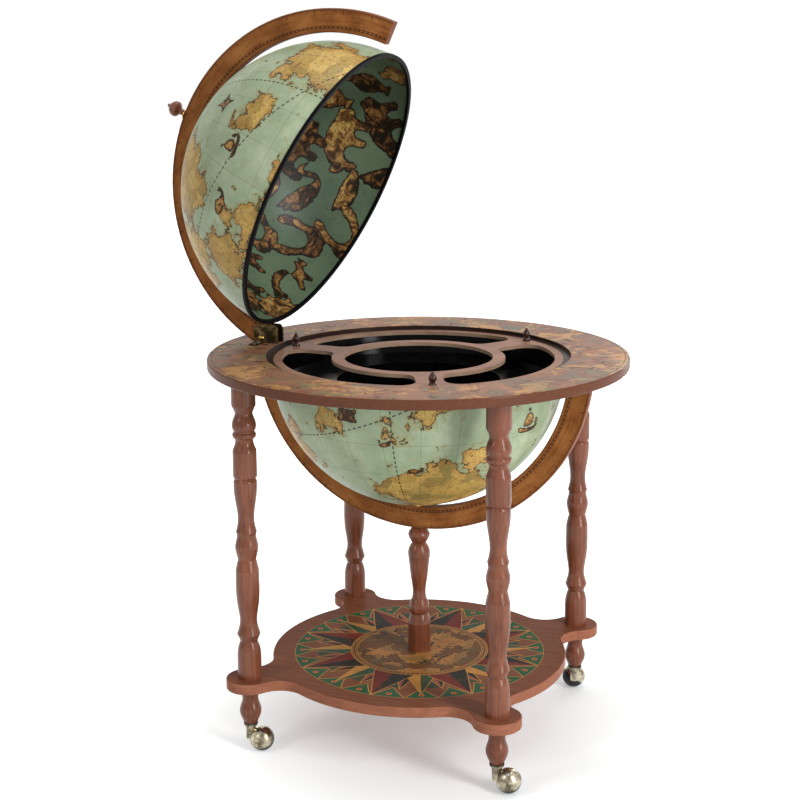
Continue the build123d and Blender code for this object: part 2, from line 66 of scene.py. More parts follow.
# %% Main places, in metres
hinge = next(joint for joint in frame["joints"] if joint["name"] == "lid_hinge")
hinge_point = Vector(hinge["pos_m"])
open_angle = radians(hinge["range_deg"][1])
ring_low, ring_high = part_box("table_ring")
ring_top = ring_high.z
ring_radius = ring_high.x
ring_middle = (ring_low.z + ring_top) / 2
shelf_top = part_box("shelf")[1].z
dome_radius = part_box("lid_dome")[1].x
bowl_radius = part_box("bowl")[1].x
bowl_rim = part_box("bowl")[1].z


def opened(point):
    """A point of the closed lid, turned back with the lid."""
    turn = Matrix.Rotation(-open_angle, 4, "X")
    return turn @ (Vector(point) - hinge_point) + hinge_point


lid_axis = Matrix.Rotation(-open_angle, 4, "X") @ Vector((0, 0, 1))
rim_inset = 0.0040       # the dome's edge above the lowest point of the closed lid's ledge
dome_center = opened((0, 0, ring_top - rim_inset))
arc_center = opened((0, 0, ring_middle))
print("dome radius", round(dome_radius, 4), "dome centre", [round(v, 4) for v in dome_center])

# %% [markdown]
# ## Camera
# The camera stands a little above the ring and far away, with a long lens, so that the circles stay nearly
# true. It is placed by its three axes instead of two angles, because that keeps its roll exact. The lens
# shift only moves the picture's frame.

# %% Camera
camera_place = Vector((-2.52124, -1.00129, 1.1925))
camera_ahead = Vector((0.91192, 0.36182, -0.19361)).normalized()
camera_up = Vector((0.18110, 0.06852, 0.98107))
camera_right = camera_ahead.cross(camera_up).normalized()
camera_up = camera_right.cross(camera_ahead)
lens = bpy.data.cameras.new("camera")
lens.sensor_width = 36.0
lens.lens = 74.55
lens.shift_x = -0.0237
lens.shift_y = -0.0642
lens.clip_end = 60.0
camera = bpy.data.objects.new("camera", lens)
turn = Matrix((camera_right, camera_up, -camera_ahead)).transposed().to_4x4()
camera.matrix_world = Matrix.Translation(camera_place) @ turn
bpy.context.scene.collection.objects.link(camera)
bpy.context.scene.camera = camera
bpy.context.scene.view_settings.view_transform = "Standard"
print("camera looks down by", round(degrees(asin(-camera_ahead.z)), 1), "degrees")

# %% [markdown]
# ## Node helpers
# A material is a small graph. Writing each node and link by hand takes several lines, so these helpers add
# a node and wire its inputs in one. After that a material reads like a recipe.

# %% Helpers that write nodes
def paint(red, green, blue):
    """A colour from display values of 0 to 255, as the linear light that Blender works in."""
    linear = [((v / 255 + 0.055) / 1.055) ** 2.4 if v > 10 else v / 255 / 12.92 for v in (red, green, blue)]
    return (*linear, 1.0)


def feed(tree, node, inputs):
    """Give each named input of a node a plain value or another node's output."""
    for key, value in inputs.items():
        if isinstance(value, bpy.types.NodeSocket):
            tree.links.new(value, node.inputs[key])
        else:
            node.inputs[key].default_value = value


def put(tree, kind, inputs=None, **settings):
    """Add one node with its settings and inputs."""
    node = tree.nodes.new(kind)
    for key, value in settings.items():
        setattr(node, key, value)
    feed(tree, node, inputs or {})
    return node


def new_finish(name, constants):
    """A material with one Principled shader; constants go to the shader's own sockets."""
    finish = bpy.data.materials.new(name)
    finish.use_nodes = True
    shader = finish.node_tree.nodes["Principled BSDF"]
    feed(finish.node_tree, shader, constants)
    return finish, finish.node_tree, shader


white = (1.0, 1.0, 1.0, 1.0)
print("node helpers ready, mid grey is", round(paint(128, 128, 128)[0], 3), "in linear light")

# %% [markdown]
# ## Sums as nodes
# Everything printed on this bar is a sum: how far a point is from the middle, how far round, how high. Each
# step of such a sum is a node. One short helper for each kind of step keeps the sums readable below.

# %% Helpers for sums
def maths(tree, operation, *values):
    """One Math node."""
    return put(tree, "ShaderNodeMath", dict(enumerate(values)), operation=operation).outputs[0]


def plus(tree, first, second):
    """Sum of two values."""
    return maths(tree, "ADD", first, second)


def minus(tree, first, second):
    """The first value less the second."""
    return maths(tree, "SUBTRACT", first, second)


def times(tree, *values):
    """Product of values. A product of shares is one only where all of them hold."""
    result = values[0]
    for value in values[1:]:
        result = maths(tree, "MULTIPLY", result, value)
    return result


def unsigned(tree, value):
    """A value without its sign."""
    return maths(tree, "ABSOLUTE", value)


def vectors(tree, operation, *values, output=0):
    """One Vector Math node; output 1 is a plain value, such as a length."""
    return put(tree, "ShaderNodeVectorMath", dict(enumerate(values)), operation=operation).outputs[output]


def stretched(tree, place, squeeze):
    """A place squeezed along its axes, which stretches whatever is read there."""
    return vectors(tree, "MULTIPLY", place, squeeze)


def split(tree, place):
    """The X, Y and Z of a place."""
    return put(tree, "ShaderNodeSeparateXYZ", {0: place}).outputs


def join(tree, *values):
    """A place from its X, Y and Z; one that is left out is zero."""
    return put(tree, "ShaderNodeCombineXYZ", dict(enumerate(values))).outputs[0]


print("sum helpers ready")

# %% [markdown]
# ## Pattern helpers
# Old print and old wood are both layers of soft random values, bands and rings. A noise gives the random
# value, a fade turns a value into a share from 0 to 1, and a blend lays one colour over another by that
# share. A painted picture could do the same, but it needs unwrapping, and it goes soft when the eye is near.

# %% Helpers for patterns
def noise(tree, where, scale, detail=4.0, roughness=0.55, distortion=0.0):
    """Soft random value of about 0.3 to 0.7; scale counts its lumps in a metre."""
    inputs = {"Vector": where, "Scale": scale, "Detail": detail, "Roughness": roughness,
              "Distortion": distortion}
    return put(tree, "ShaderNodeTexNoise", inputs).outputs[0]


def fade(tree, value, low, high, start=0.0, end=1.0):
    """Smooth change from start to end while value goes from low to high."""
    inputs = {"Value": value, "From Min": low, "From Max": high, "To Min": start, "To Max": end}
    return put(tree, "ShaderNodeMapRange", inputs, interpolation_type="SMOOTHSTEP").outputs[0]


def blend(tree, share, first, second):
    """Mix two colours: the first where the share is 0, the second where it is 1."""
    return put(tree, "ShaderNodeMix", {0: share, 6: first, 7: second}, data_type="RGBA").outputs[2]


def between(tree, share, first, second):
    """Mix two plain values in the same way."""
    return put(tree, "ShaderNodeMix", {0: share, 2: first, 3: second}, data_type="FLOAT").outputs[0]


def ramp(tree, value, *stops):
    """Colour ramp through (position, colour) stops."""
    node = put(tree, "ShaderNodeValToRGB", {0: value})
    band = node.color_ramp
    band.elements.remove(band.elements[1])
    band.elements[0].position, band.elements[0].color = stops[0]
    for position, colour in stops[1:]:
        band.elements.new(position).color = colour
    return node.outputs[0]


def polar(tree, place, first, second):
    """Distance and angle about the centre, in the plane of two axes: 0 is X, 1 is Y and 2 is Z."""
    axes = split(tree, place)
    flat = join(tree, axes[first], axes[second])
    return vectors(tree, "LENGTH", flat, output=1), maths(tree, "ARCTAN2", axes[second], axes[first])


def stripe(tree, value, middle, half, soft=0.0003):
    """One where a value is within half of the middle, with a soft edge."""
    return fade(tree, unsigned(tree, minus(tree, value, middle)), half, half + soft, 1.0, 0.0)


def sector(tree, turn, count, shift=0.0):
    """Distance from the middle of the nearest of many equal sectors, from 0 to 1 at their edges, signed."""
    whole_turns = 64.0       # keeps the count above zero before its fraction is taken
    counted = plus(tree, times(tree, turn, count / (2 * pi)), shift + whole_turns)
    return times(tree, minus(tree, maths(tree, "FRACT", counted), 0.5), 2.0)


def bump(tree, shader, height, strength, distance):
    """Small relief from a height value."""
    relief = put(tree, "ShaderNodeBump", {"Height": height, "Strength": strength, "Distance": distance})
    tree.links.new(relief.outputs[0], shader.inputs["Normal"])


def object_place(tree, centre=(0.0, 0.0, 0.0)):
    """Object coordinates, measured from a centre."""
    place = put(tree, "ShaderNodeTexCoord").outputs["Object"]
    return vectors(tree, "SUBTRACT", place, tuple(centre))


print("pattern helpers ready")

# %% [markdown]
# ## Floor
# The bar stands on a seamless white floor. Lamps strong enough to burn a floor out to white would bleach
# the wood as well, so this floor gives off its own white instead. The glow fades towards the bar, where the
# floor has to keep the shadow. It shows straight ahead, through glass and in anything glossy, and lights
# nothing.

# %% Floor
floor_reach = 14.0
floor_drop = 0.0002                 # just under the wheels, so that the two don't flicker together
shadow_middle = (-0.02, -0.20, 0.0)
glow_start, glow_full = 0.24, 0.95  # distances from the shadow's middle
glow_in_shadow = 0.27


def seen_share(tree):
    """One on the rays that end in the eye: straight, through glass, or off something glossy."""
    path = put(tree, "ShaderNodeLightPath").outputs
    straight = maths(tree, "MAXIMUM", path["Is Camera Ray"], path["Is Transmission Ray"])
    return maths(tree, "MAXIMUM", straight, path["Is Glossy Ray"])


def paper_floor():
    """White floor that keeps a shadow; its glow is seen and mirrored, but lights nothing."""
    finish, tree, shader = new_finish("floor_paper", {"Roughness": 0.9, "Emission Color": white})
    place = object_place(tree)
    tone = ramp(tree, noise(tree, place, 3.0), (0.3, paint(233, 236, 237)), (0.7, paint(238, 241, 242)))
    away = vectors(tree, "LENGTH", vectors(tree, "SUBTRACT", place, shadow_middle), output=1)
    glow = fade(tree, away, glow_start, glow_full, glow_in_shadow, 1.0)
    feed(tree, shader, {"Base Color": tone, "Emission Strength": times(tree, seen_share(tree), glow)})
    return finish


floor_mesh = bpy.data.meshes.new("floor")
corner_signs = ((-1, -1), (1, -1), (1, 1), (-1, 1))
corners = [(x * floor_reach, y * floor_reach, -floor_drop) for x, y in corner_signs]
floor_mesh.from_pydata(corners, [], [(0, 1, 2, 3)])
floor = bpy.data.objects.new("floor", floor_mesh)
floor.data.materials.append(paper_floor())
bpy.context.scene.collection.objects.link(floor)
print("floor is", 2 * floor_reach, "m wide")

# %% [markdown]
# ## Light
# Four soft lamps and a pale world light the bar. Round wood shows a lamp as a line, so the tall lamp on the
# right draws the long highlights down the legs, and a narrow one opens the shaded left. The weak ones behind
# and above part the bar from the floor. The world is dim as a light, yet white on every ray that ends in the
# eye, so that the backdrop and all that brass and lacquer mirror belong to the same white room.

# %% World and lamps
def studio_world(strength):
    """Even pale light all round, and white where it is seen directly or mirrored."""
    world = bpy.data.worlds.new("studio")
    world.use_nodes = True
    tree = world.node_tree
    level = between(tree, seen_share(tree), strength, 1.0)
    feed(tree, tree.nodes["Background"], {"Color": white, "Strength": level})
    return world


def lamp(name, place, target, width, height, power):
    """Soft lamp at a place, turned to a target."""
    light = bpy.data.lights.new(name, "AREA")
    light.shape = "RECTANGLE"
    light.size = width
    light.size_y = height
    light.energy = power
    holder = bpy.data.objects.new(name, light)
    holder.location = place
    holder.rotation_euler = (Vector(target) - Vector(place)).to_track_quat("-Z", "Y").to_euler()
    holder.visible_camera = False
    bpy.context.scene.collection.objects.link(holder)


bpy.context.scene.world = studio_world(0.42)
lamp("left", (-2.6, 1.6, 2.3), (0.0, 0.0, 0.6), 0.5, 1.2, 18.0)
lamp("right", (-1.3, -2.8, 1.6), (0.0, 0.0, 0.6), 0.7, 2.3, 78.0)
lamp("back", (3.0, -0.35, 1.3), (0.0, 0.0, 0.6), 1.5, 1.5, 16.0)
lamp("top", (0.3, -0.2, 3.4), (0.0, 0.0, 0.5), 1.6, 1.6, 30.0)
print("lamps:", [light.name for light in bpy.data.lights])

# %% [markdown]
# ## Turned and lacquered wood
# The legs, post, feet and knobs are wood stained red-brown under a lacquer. A wood texture needs three
# scales: slow changes of the stain, long grain along the piece, and short dark pores. The grain is a noise
# squeezed along Z, which is far cheaper than a carved mesh and follows each turned piece by itself. The
# lacquer is a coat on the shader, so that the highlights stay sharp while the wood below stays soft.

# %% Wood finishes
along_grain = (1.0, 1.0, 0.07)
along_pores = tuple(0.3 * squeeze + 0.02 for squeeze in along_grain)
grain_share = 0.62


def coated(weight, roughness, shine):
    """Shader constants for a lacquer or varnish: how much of it, how rough, and the shine below it."""
    return {"Coat Weight": weight, "Coat Roughness": roughness, "Specular IOR Level": shine}


def lacquered_wood(name, dark, middle, light):
    """Stained wood under lacquer, with its grain along Z."""
    finish, tree, shader = new_finish(name, coated(0.4, 0.16, 0.1))
    place = object_place(tree)
    slow = noise(tree, place, 9.0, 3.0)
    grain = noise(tree, stretched(tree, place, along_grain), 190.0, 6.0, 0.62, 0.25)
    pores = noise(tree, stretched(tree, place, along_pores), 2600.0, 2.0)
    tone = plus(tree, times(tree, grain, grain_share), times(tree, slow, 1.0 - grain_share))
    colour = ramp(tree, tone, (0.25, dark), (0.50, middle), (0.78, light))
    pits = fade(tree, pores, 0.60, 0.68)
    colour = blend(tree, times(tree, pits, 0.35), colour, dark)
    feed(tree, shader, {"Base Color": colour, "Roughness": fade(tree, grain, 0.3, 0.7, 0.32, 0.46)})
    bump(tree, shader, minus(tree, grain, times(tree, pits, 0.5)), 0.25, 0.0002)
    return finish


turned_wood = lacquered_wood("turned_wood", paint(70, 33, 20), paint(121, 69, 47), paint(152, 94, 67))
knob_wood = lacquered_wood("knob_wood", paint(34, 18, 13), paint(58, 32, 24), paint(82, 48, 36))
print("wood finishes ready")

# %% [markdown]
# ## Metal and plastic
# Old brass is not one colour: it darkens where fingers and polish do not reach. A noise moves both the
# colour and the roughness, which is what makes it read as worn metal. The tray is moulded black plastic,
# nearly mirror smooth; the lid's trim is duller, and the caster wheels are a dark grey.

# %% Metal and plastic finishes
def worn_metal(name, dark, bright, roughness):
    """Cast or turned metal with darker tarnish in patches and fine brushing."""
    finish, tree, shader = new_finish(name, {"Metallic": 1.0})
    place = object_place(tree)
    tarnish = noise(tree, place, 60.0, 5.0, 0.6)
    brushing = noise(tree, stretched(tree, place, (1.0, 1.0, 0.15)), 900.0, 3.0)
    share = fade(tree, plus(tree, tarnish, times(tree, brushing, 0.25)), 0.48, 0.76)
    gloss = fade(tree, share, 0.0, 1.0, roughness + 0.18, roughness)
    feed(tree, shader, {"Base Color": blend(tree, share, dark, bright), "Roughness": gloss})
    bump(tree, shader, brushing, 0.12, 0.0001)
    return finish


def moulded(name, tone, roughness, speckle, shine):
    """Moulded plastic with a faint texture; speckle is how much lighter its light spots are."""
    finish, tree, shader = new_finish(name, {"Specular IOR Level": shine})
    place = object_place(tree)
    cloud = noise(tree, place, 45.0, 4.0)
    lighter = tuple(min(1.0, channel + speckle) for channel in tone[:3]) + (1.0,)
    colour = blend(tree, fade(tree, cloud, 0.35, 0.7), tone, lighter)
    gloss = fade(tree, cloud, 0.3, 0.7, roughness, roughness + 0.08)
    feed(tree, shader, {"Base Color": colour, "Roughness": gloss})
    bump(tree, shader, noise(tree, place, 700.0, 2.0), 0.08, 0.0001)
    return finish


old_brass = worn_metal("old_brass", paint(104, 94, 74), paint(206, 197, 172), 0.17)
socket_metal = worn_metal("socket_metal", paint(38, 35, 31), paint(118, 113, 102), 0.24)
bright_brass = worn_metal("bright_brass", paint(112, 83, 38), paint(182, 149, 86), 0.2)
dark_bronze = worn_metal("dark_bronze", paint(42, 35, 22), paint(108, 91, 60), 0.3)
zinc_steel = worn_metal("zinc_steel", paint(120, 120, 118), paint(196, 196, 194), 0.3)
tray_plastic = moulded("tray_plastic", paint(4, 4, 5), 0.10, 0.002, 0.06)
rim_plastic = moulded("rim_plastic", paint(7, 7, 9), 0.5, 0.002, 0.04)
wheel_plastic = moulded("wheel_plastic", paint(30, 31, 32), 0.36, 0.012, 0.2)
print("metal and plastic finishes ready")

# %% [markdown]
# ## Old map colours
# The ring, the globe and the shelf's middle carry a printed map in the manner of an engraver: pale green sea
# that fades to paper, ochre land with a darker shore, and thin brown lines. All these are one idea, a smooth
# field that is positive on land, so one helper turns such a field into paint.

# %% Map paint
sea_green = paint(152, 167, 137)
sea_pale = paint(168, 181, 151)
sea_dull = paint(139, 154, 123)
land_ochre = paint(176, 144, 76)
land_yellow = paint(200, 168, 96)
land_rust = paint(156, 102, 54)
land_olive = paint(146, 128, 74)
ink = paint(58, 42, 26)
dark_ink = paint(30, 34, 28)


def land_paint(tree, place, lumps):
    """Ochre land in uneven provinces, with small rust and olive patches and fine hatching."""
    provinces = put(tree, "ShaderNodeTexVoronoi", {"Vector": place, "Scale": lumps * 2.4}, feature="F1")
    tint = vectors(tree, "DOT_PRODUCT", provinces.outputs["Color"], (0.5, 0.3, 0.2), output=1)
    colour = ramp(tree, tint, (0.2, land_olive), (0.4, land_yellow), (0.6, land_ochre), (0.8, land_olive))
    patches = fade(tree, noise(tree, place, lumps * 5.0, 5.0, 0.65), 0.52, 0.64)
    colour = blend(tree, times(tree, patches, 0.4), colour, land_rust)
    marks = fade(tree, noise(tree, place, lumps * 13.0, 5.0, 0.75, 1.2), 0.52, 0.62)
    return blend(tree, times(tree, marks, 0.62), colour, ink)


def sea_paint(tree, place, lumps):
    """Green sea, worn pale in places, with faint engraved strokes."""
    wear = noise(tree, place, lumps * 1.3, 5.0, 0.6)
    colour = ramp(tree, wear, (0.30, sea_dull), (0.48, sea_green), (0.66, sea_pale))
    strokes = noise(tree, stretched(tree, place, (1.0, 1.0, 5.0)), lumps * 24.0, 3.0, 0.6)
    colour = blend(tree, fade(tree, strokes, 0.55, 0.70, 0.0, 0.30), colour, land_olive)
    specks = noise(tree, place, lumps * 42.0, 3.0, 0.7)
    return blend(tree, fade(tree, specks, 0.60, 0.70, 0.0, 0.35), colour, paint(104, 112, 84))


def coast_lines(tree, colour, field, width):
    """Ink line along the shore, rust wash inside it and a shadow in the water outside."""
    inner = fade(tree, field, width, width * 6.0, 0.4, 0.0)
    on_land = maths(tree, "GREATER_THAN", field, 0.0)
    colour = blend(tree, times(tree, inner, on_land), colour, land_rust)
    outer = fade(tree, field, -width * 6.0, -width, 0.0, 0.45)
    at_sea = maths(tree, "LESS_THAN", field, 0.0)
    colour = blend(tree, times(tree, outer, at_sea), colour, land_olive)
    line = fade(tree, unsigned(tree, field), width * 0.5, width, 1.0, 0.0)
    return blend(tree, times(tree, line, 0.95), colour, ink)


print("map paint ready")

# %% [markdown]
# ## Printed boards
# The ring and the shelf are boards with a print on their top face, the arcs have one on both faces, and all
# have plain stained edges. The prints follow circles, so each material turns its place into a distance and
# an angle about the middle. Borders are then bands of distance, and ticks and triangles are a zigzag of the
# angle. A mask keeps the print on its face: by height on the ring and the shelf, and by side on the arcs.

# %% Stained edges and a mask for the printed face
def toned(tree, colour, level):
    """The same colour, lighter or darker."""
    return put(tree, "ShaderNodeVectorMath", {0: colour, "Scale": level}, operation="SCALE").outputs[0]


def stained_edge(tree, place, squeeze, level=1.0, painted_sheen=0.0):
    """Red-brown stain with fine grain for a board's plain edges, under a share of painted reflection."""
    grain = noise(tree, stretched(tree, place, squeeze), 210.0, 5.0, 0.6, 0.3)
    stain = ramp(tree, grain, (0.30, paint(98, 54, 35)), (0.50, paint(112, 64, 42)),
                 (0.70, paint(124, 74, 50)))
    # The pale colour is a painted reflection of the white room in the lacquer, not a colour of the wood.
    return blend(tree, painted_sheen, toned(tree, stain, level), paint(214, 176, 160))


def above(tree, place, level):
    """One on the flat top face of a board at this height."""
    return fade(tree, split(tree, place)[2], level - 0.0006, level - 0.0002)


def finish_board(tree, shader, colour, relief, roughness=0.36):
    """Satin lacquer over a printed or stained board."""
    gloss = fade(tree, relief, 0.3, 0.7, roughness, roughness + 0.12)
    feed(tree, shader, {"Base Color": colour, "Roughness": gloss})
    bump(tree, shader, relief, 0.15, 0.0002)


print("board helpers ready")

# %% [markdown]
# ## The scale on the arcs
# A globe's meridian carries a scale of degrees. This one has a rope border near the inner edge and ticks of
# two lengths near the outer one. They are ink on the real object, so they are not modelled: a tick is a
# narrow sector of angle crossed with a stripe of distance. The wood grain follows the bend, because its
# noise is read at the distance and the angle in place of two straight axes.

# %% The scale on the arcs
rope_low, rope_high = 0.0066, 0.0098     # the rope's two lines, from the arc's inner edge
rope_middle, rope_half = 0.0082, 0.0014
rope_strands = 220                       # in a full circle
outer_line = 0.0030                      # from the arc's outer edge
tick_sizes = ((72, 0.0034), (36, 0.0060))    # count in a full circle, and length


def scale_print(name, centre, inner, outer, half, level):
    """Orange-brown print on an arc's two faces, with a rope near its inner edge and ticks near its outer."""
    finish, tree, shader = new_finish(name, coated(0.02, 0.15, 0.03))
    place = object_place(tree, centre)
    reach, turn = polar(tree, place, 1, 2)
    across = split(tree, place)[0]
    bent = join(tree, reach, times(tree, turn, inner), across)
    grain = noise(tree, stretched(tree, bent, (1.0, 0.07, 1.0)), 240.0, 5.0, 0.6, 0.3)
    cloud = noise(tree, bent, 26.0, 5.0, 0.6)
    tone = plus(tree, times(tree, grain, 0.4), times(tree, cloud, 0.6))
    face = ramp(tree, tone, (0.34, paint(96, 56, 27)), (0.48, paint(128, 78, 40)),
                (0.64, paint(150, 98, 54)))
    depth = minus(tree, reach, inner)
    width = outer - inner
    marks = [stripe(tree, depth, rope_low, 0.0005), stripe(tree, depth, rope_high, 0.0005),
             stripe(tree, depth, width - outer_line, 0.0004)]
    rope = fade(tree, unsigned(tree, sector(tree, turn, rope_strands)), 0.45, 0.75)
    marks.append(times(tree, rope, stripe(tree, depth, rope_middle, rope_half)))
    for count, length in tick_sizes:
        tick = fade(tree, unsigned(tree, sector(tree, turn, count)), 0.04, 0.07, 1.0, 0.0)
        middle = width - outer_line - length / 2
        marks.append(times(tree, tick, stripe(tree, depth, middle, length / 2), 0.7))
    for mark in marks:
        face = blend(tree, times(tree, mark, 0.78), face, paint(56, 32, 20))
    from_middle = unsigned(tree, minus(tree, depth, width / 2))
    rim_shade = fade(tree, from_middle, 0.25 * width, 0.5 * width)
    face = blend(tree, times(tree, rim_shade, 0.4), face, paint(84, 46, 26))
    foxing = fade(tree, noise(tree, bent, 150.0, 5.0, 0.7), 0.58, 0.70, 0.0, 0.45)
    face = blend(tree, foxing, face, paint(74, 44, 26))
    printed = fade(tree, unsigned(tree, across), half - 0.0005, half - 0.0002)
    edge = stained_edge(tree, bent, (1.0, 0.07, 1.0))
    finish_board(tree, shader, toned(tree, blend(tree, printed, edge, face), level), grain)
    return finish


arc_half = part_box("lower_arc")[1].x
arc_outer = ring_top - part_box("lower_arc")[0].z
arc_gap = 0.015
arc_inner = dome_radius + arc_gap
# The lower arc hangs in the ring's shade, so its print and edges are painted lighter than the upper arc's,
# 1.4 against 1.2, for the light that the ring keeps off it.
upper_scale = scale_print("upper_scale", arc_center, arc_inner, arc_outer, arc_half, 1.2)
lower_scale = scale_print("lower_scale", (0.0, 0.0, ring_top), arc_inner, arc_outer, arc_half, 1.4)
arc_sizes = [round(1000 * size, 1) for size in (arc_outer - arc_inner, 2 * arc_half)]
print("arcs are", arc_sizes[0], "mm wide and", arc_sizes[1], "mm thick")

# %% [markdown]
# ## The washed map on the ring, and the insert
# The ring's print is an old map, so faded that only stains of colour and bits of coast are left. Five noises
# at growing scales lay these stains over tan paper, and each stain gets a thin shore where its noise crosses
# one level. The insert is plain board: one brown on its top, and a paler one where it was sawn.

# %% The washed map on the ring, and the insert
# Each stain: where its noise is read, its scale, the level it starts at, its colour, and how strong it is.
ring_stains = (
    ((1.7, 0.4, 0.0), 18.0, 0.52, paint(98, 98, 82), 0.65),
    ((0.3, 2.9, 0.0), 15.0, 0.51, paint(186, 138, 82), 0.75),
    ((4.1, 1.3, 0.0), 21.0, 0.55, paint(106, 108, 76), 0.65),
    ((6.4, 3.7, 0.0), 24.0, 0.56, paint(122, 52, 38), 0.55),
    ((2.2, 5.5, 0.0), 36.0, 0.57, paint(66, 42, 32), 0.85))
ring_level = 1.22        # how much lighter the whole print is than its inks


def ring_print():
    """Faded antique print: tan paper with blue-grey seas, ochre coasts and small dark marks."""
    finish, tree, shader = new_finish("ring_print", coated(0.17, 0.22, 0.03))
    place = object_place(tree)
    cloud = noise(tree, place, 9.0, 6.0, 0.62, 0.5)
    face = ramp(tree, cloud, (0.32, paint(100, 68, 52)), (0.46, paint(130, 91, 70)),
                (0.60, paint(146, 105, 80)), (0.74, paint(166, 126, 96)))
    for shift, scale, low, colour, share in ring_stains:
        patch = noise(tree, vectors(tree, "ADD", place, shift), scale, 6.0, 0.66, 0.8)
        face = blend(tree, fade(tree, patch, low, low + 0.07, 0.0, share), face, colour)
        shore = stripe(tree, patch, low + 0.02, 0.003, 0.006)
        face = blend(tree, times(tree, shore, 0.45), face, paint(84, 58, 42))
    strokes = noise(tree, stretched(tree, place, (1.0, 2.6, 1.0)), 110.0, 4.0, 0.7, 0.5)
    face = blend(tree, fade(tree, strokes, 0.58, 0.68, 0.0, 0.55), face, paint(82, 58, 50))
    edge = stained_edge(tree, place, (1.0, 1.0, 3.0), 0.72, 0.02)
    reach = polar(tree, place, 0, 1)[0]
    # Every unprinted face of the ring within 0.34 m of the middle, the walls of the insert's recess and the
    # bore, is painted near black: painted shade for the gap round the insert.
    edge = blend(tree, fade(tree, reach, 0.34, 0.35, 1.0, 0.0), edge, paint(50, 34, 28))
    face = blend(tree, stripe(tree, reach, ring_radius - 0.0075, 0.0006), face, paint(80, 54, 42))
    face = toned(tree, face, ring_level)
    finish_board(tree, shader, blend(tree, above(tree, place, ring_top), edge, face), cloud, 0.34)
    return finish


def insert_print():
    """Mauve-brown lacquered top with paler sawn edges."""
    finish, tree, shader = new_finish("insert_print", coated(0.1, 0.2, 0.03))
    place = object_place(tree)
    cloud = noise(tree, place, 24.0, 5.0, 0.6)
    face = ramp(tree, cloud, (0.35, paint(140, 103, 86)), (0.55, paint(157, 118, 98)),
                (0.7, paint(168, 129, 107)))
    sawn = ramp(tree, cloud, (0.35, paint(146, 120, 98)), (0.65, paint(168, 141, 118)))
    top = above(tree, place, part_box("bottle_insert")[1].z)
    finish_board(tree, shader, blend(tree, top, sawn, face), cloud, 0.4)
    return finish


ring_finish = ring_print()
insert_finish = insert_print()
print("ring and insert prints ready")

# %% [markdown]
# ## The compass rose on the shelf
# A compass rose is a common ornament on old charts, and here it fills the lower shelf. Rays taper to a point
# at a given distance and are split down the middle into a light and a dark half. One helper draws a ring of
# such rays, and three rings are laid over one another, the longest last. A zigzag of the angle makes the
# green triangles of the outer border, and a small round map fills the middle.

# %% The compass rose on the shelf
rose_reach = 0.2145          # outer circle of the rose
zigzag_low = 0.1740          # inner ends of the green triangles
rays_low = 0.1180            # where the rays start
disc_reach = 0.1070          # round map in the middle
rose_green, rose_red = paint(44, 90, 58), paint(112, 42, 34)
rose_dark, rose_ochre = paint(42, 40, 34), paint(196, 138, 74)
triangle_count = 24
check_count = 16             # rays and checks keep to this count, so that they meet
border_count = 90            # small teeth round the middle
shelf_grain = (0.8, 0.06, 1.0)


def rays(tree, colour, reach, turn, count, shift, tip, half_base, first, second):
    """A ring of pointed rays, each with a first colour on its left and a second on its right."""
    swing = sector(tree, turn, count, shift)
    off = times(tree, swing, pi / count, reach)
    away = unsigned(tree, off)
    half = times(tree, minus(tree, tip, reach), half_base / (tip - rays_low))
    ring = maths(tree, "GREATER_THAN", reach, rays_low)
    inward = minus(tree, half, away)
    inside = times(tree, fade(tree, inward, 0.0, 0.0004), ring)
    halves = blend(tree, maths(tree, "GREATER_THAN", off, 0.0), first, second)
    colour = blend(tree, inside, colour, halves)
    outline = times(tree, stripe(tree, inward, 0.0, 0.0007), ring)
    return blend(tree, outline, colour, rose_ochre)


print("rose is", round(2000 * rose_reach), "mm across")

# %% [markdown]
# ## The rose from its rim inwards
# Each ring of the rose is painted over the one outside it, and a fade at its circle decides which of the two
# shows. Thin ochre circles cover the joins. Last comes a soft rubbed layer over everything, because a shelf
# that bottles are set down on never keeps a clean print.

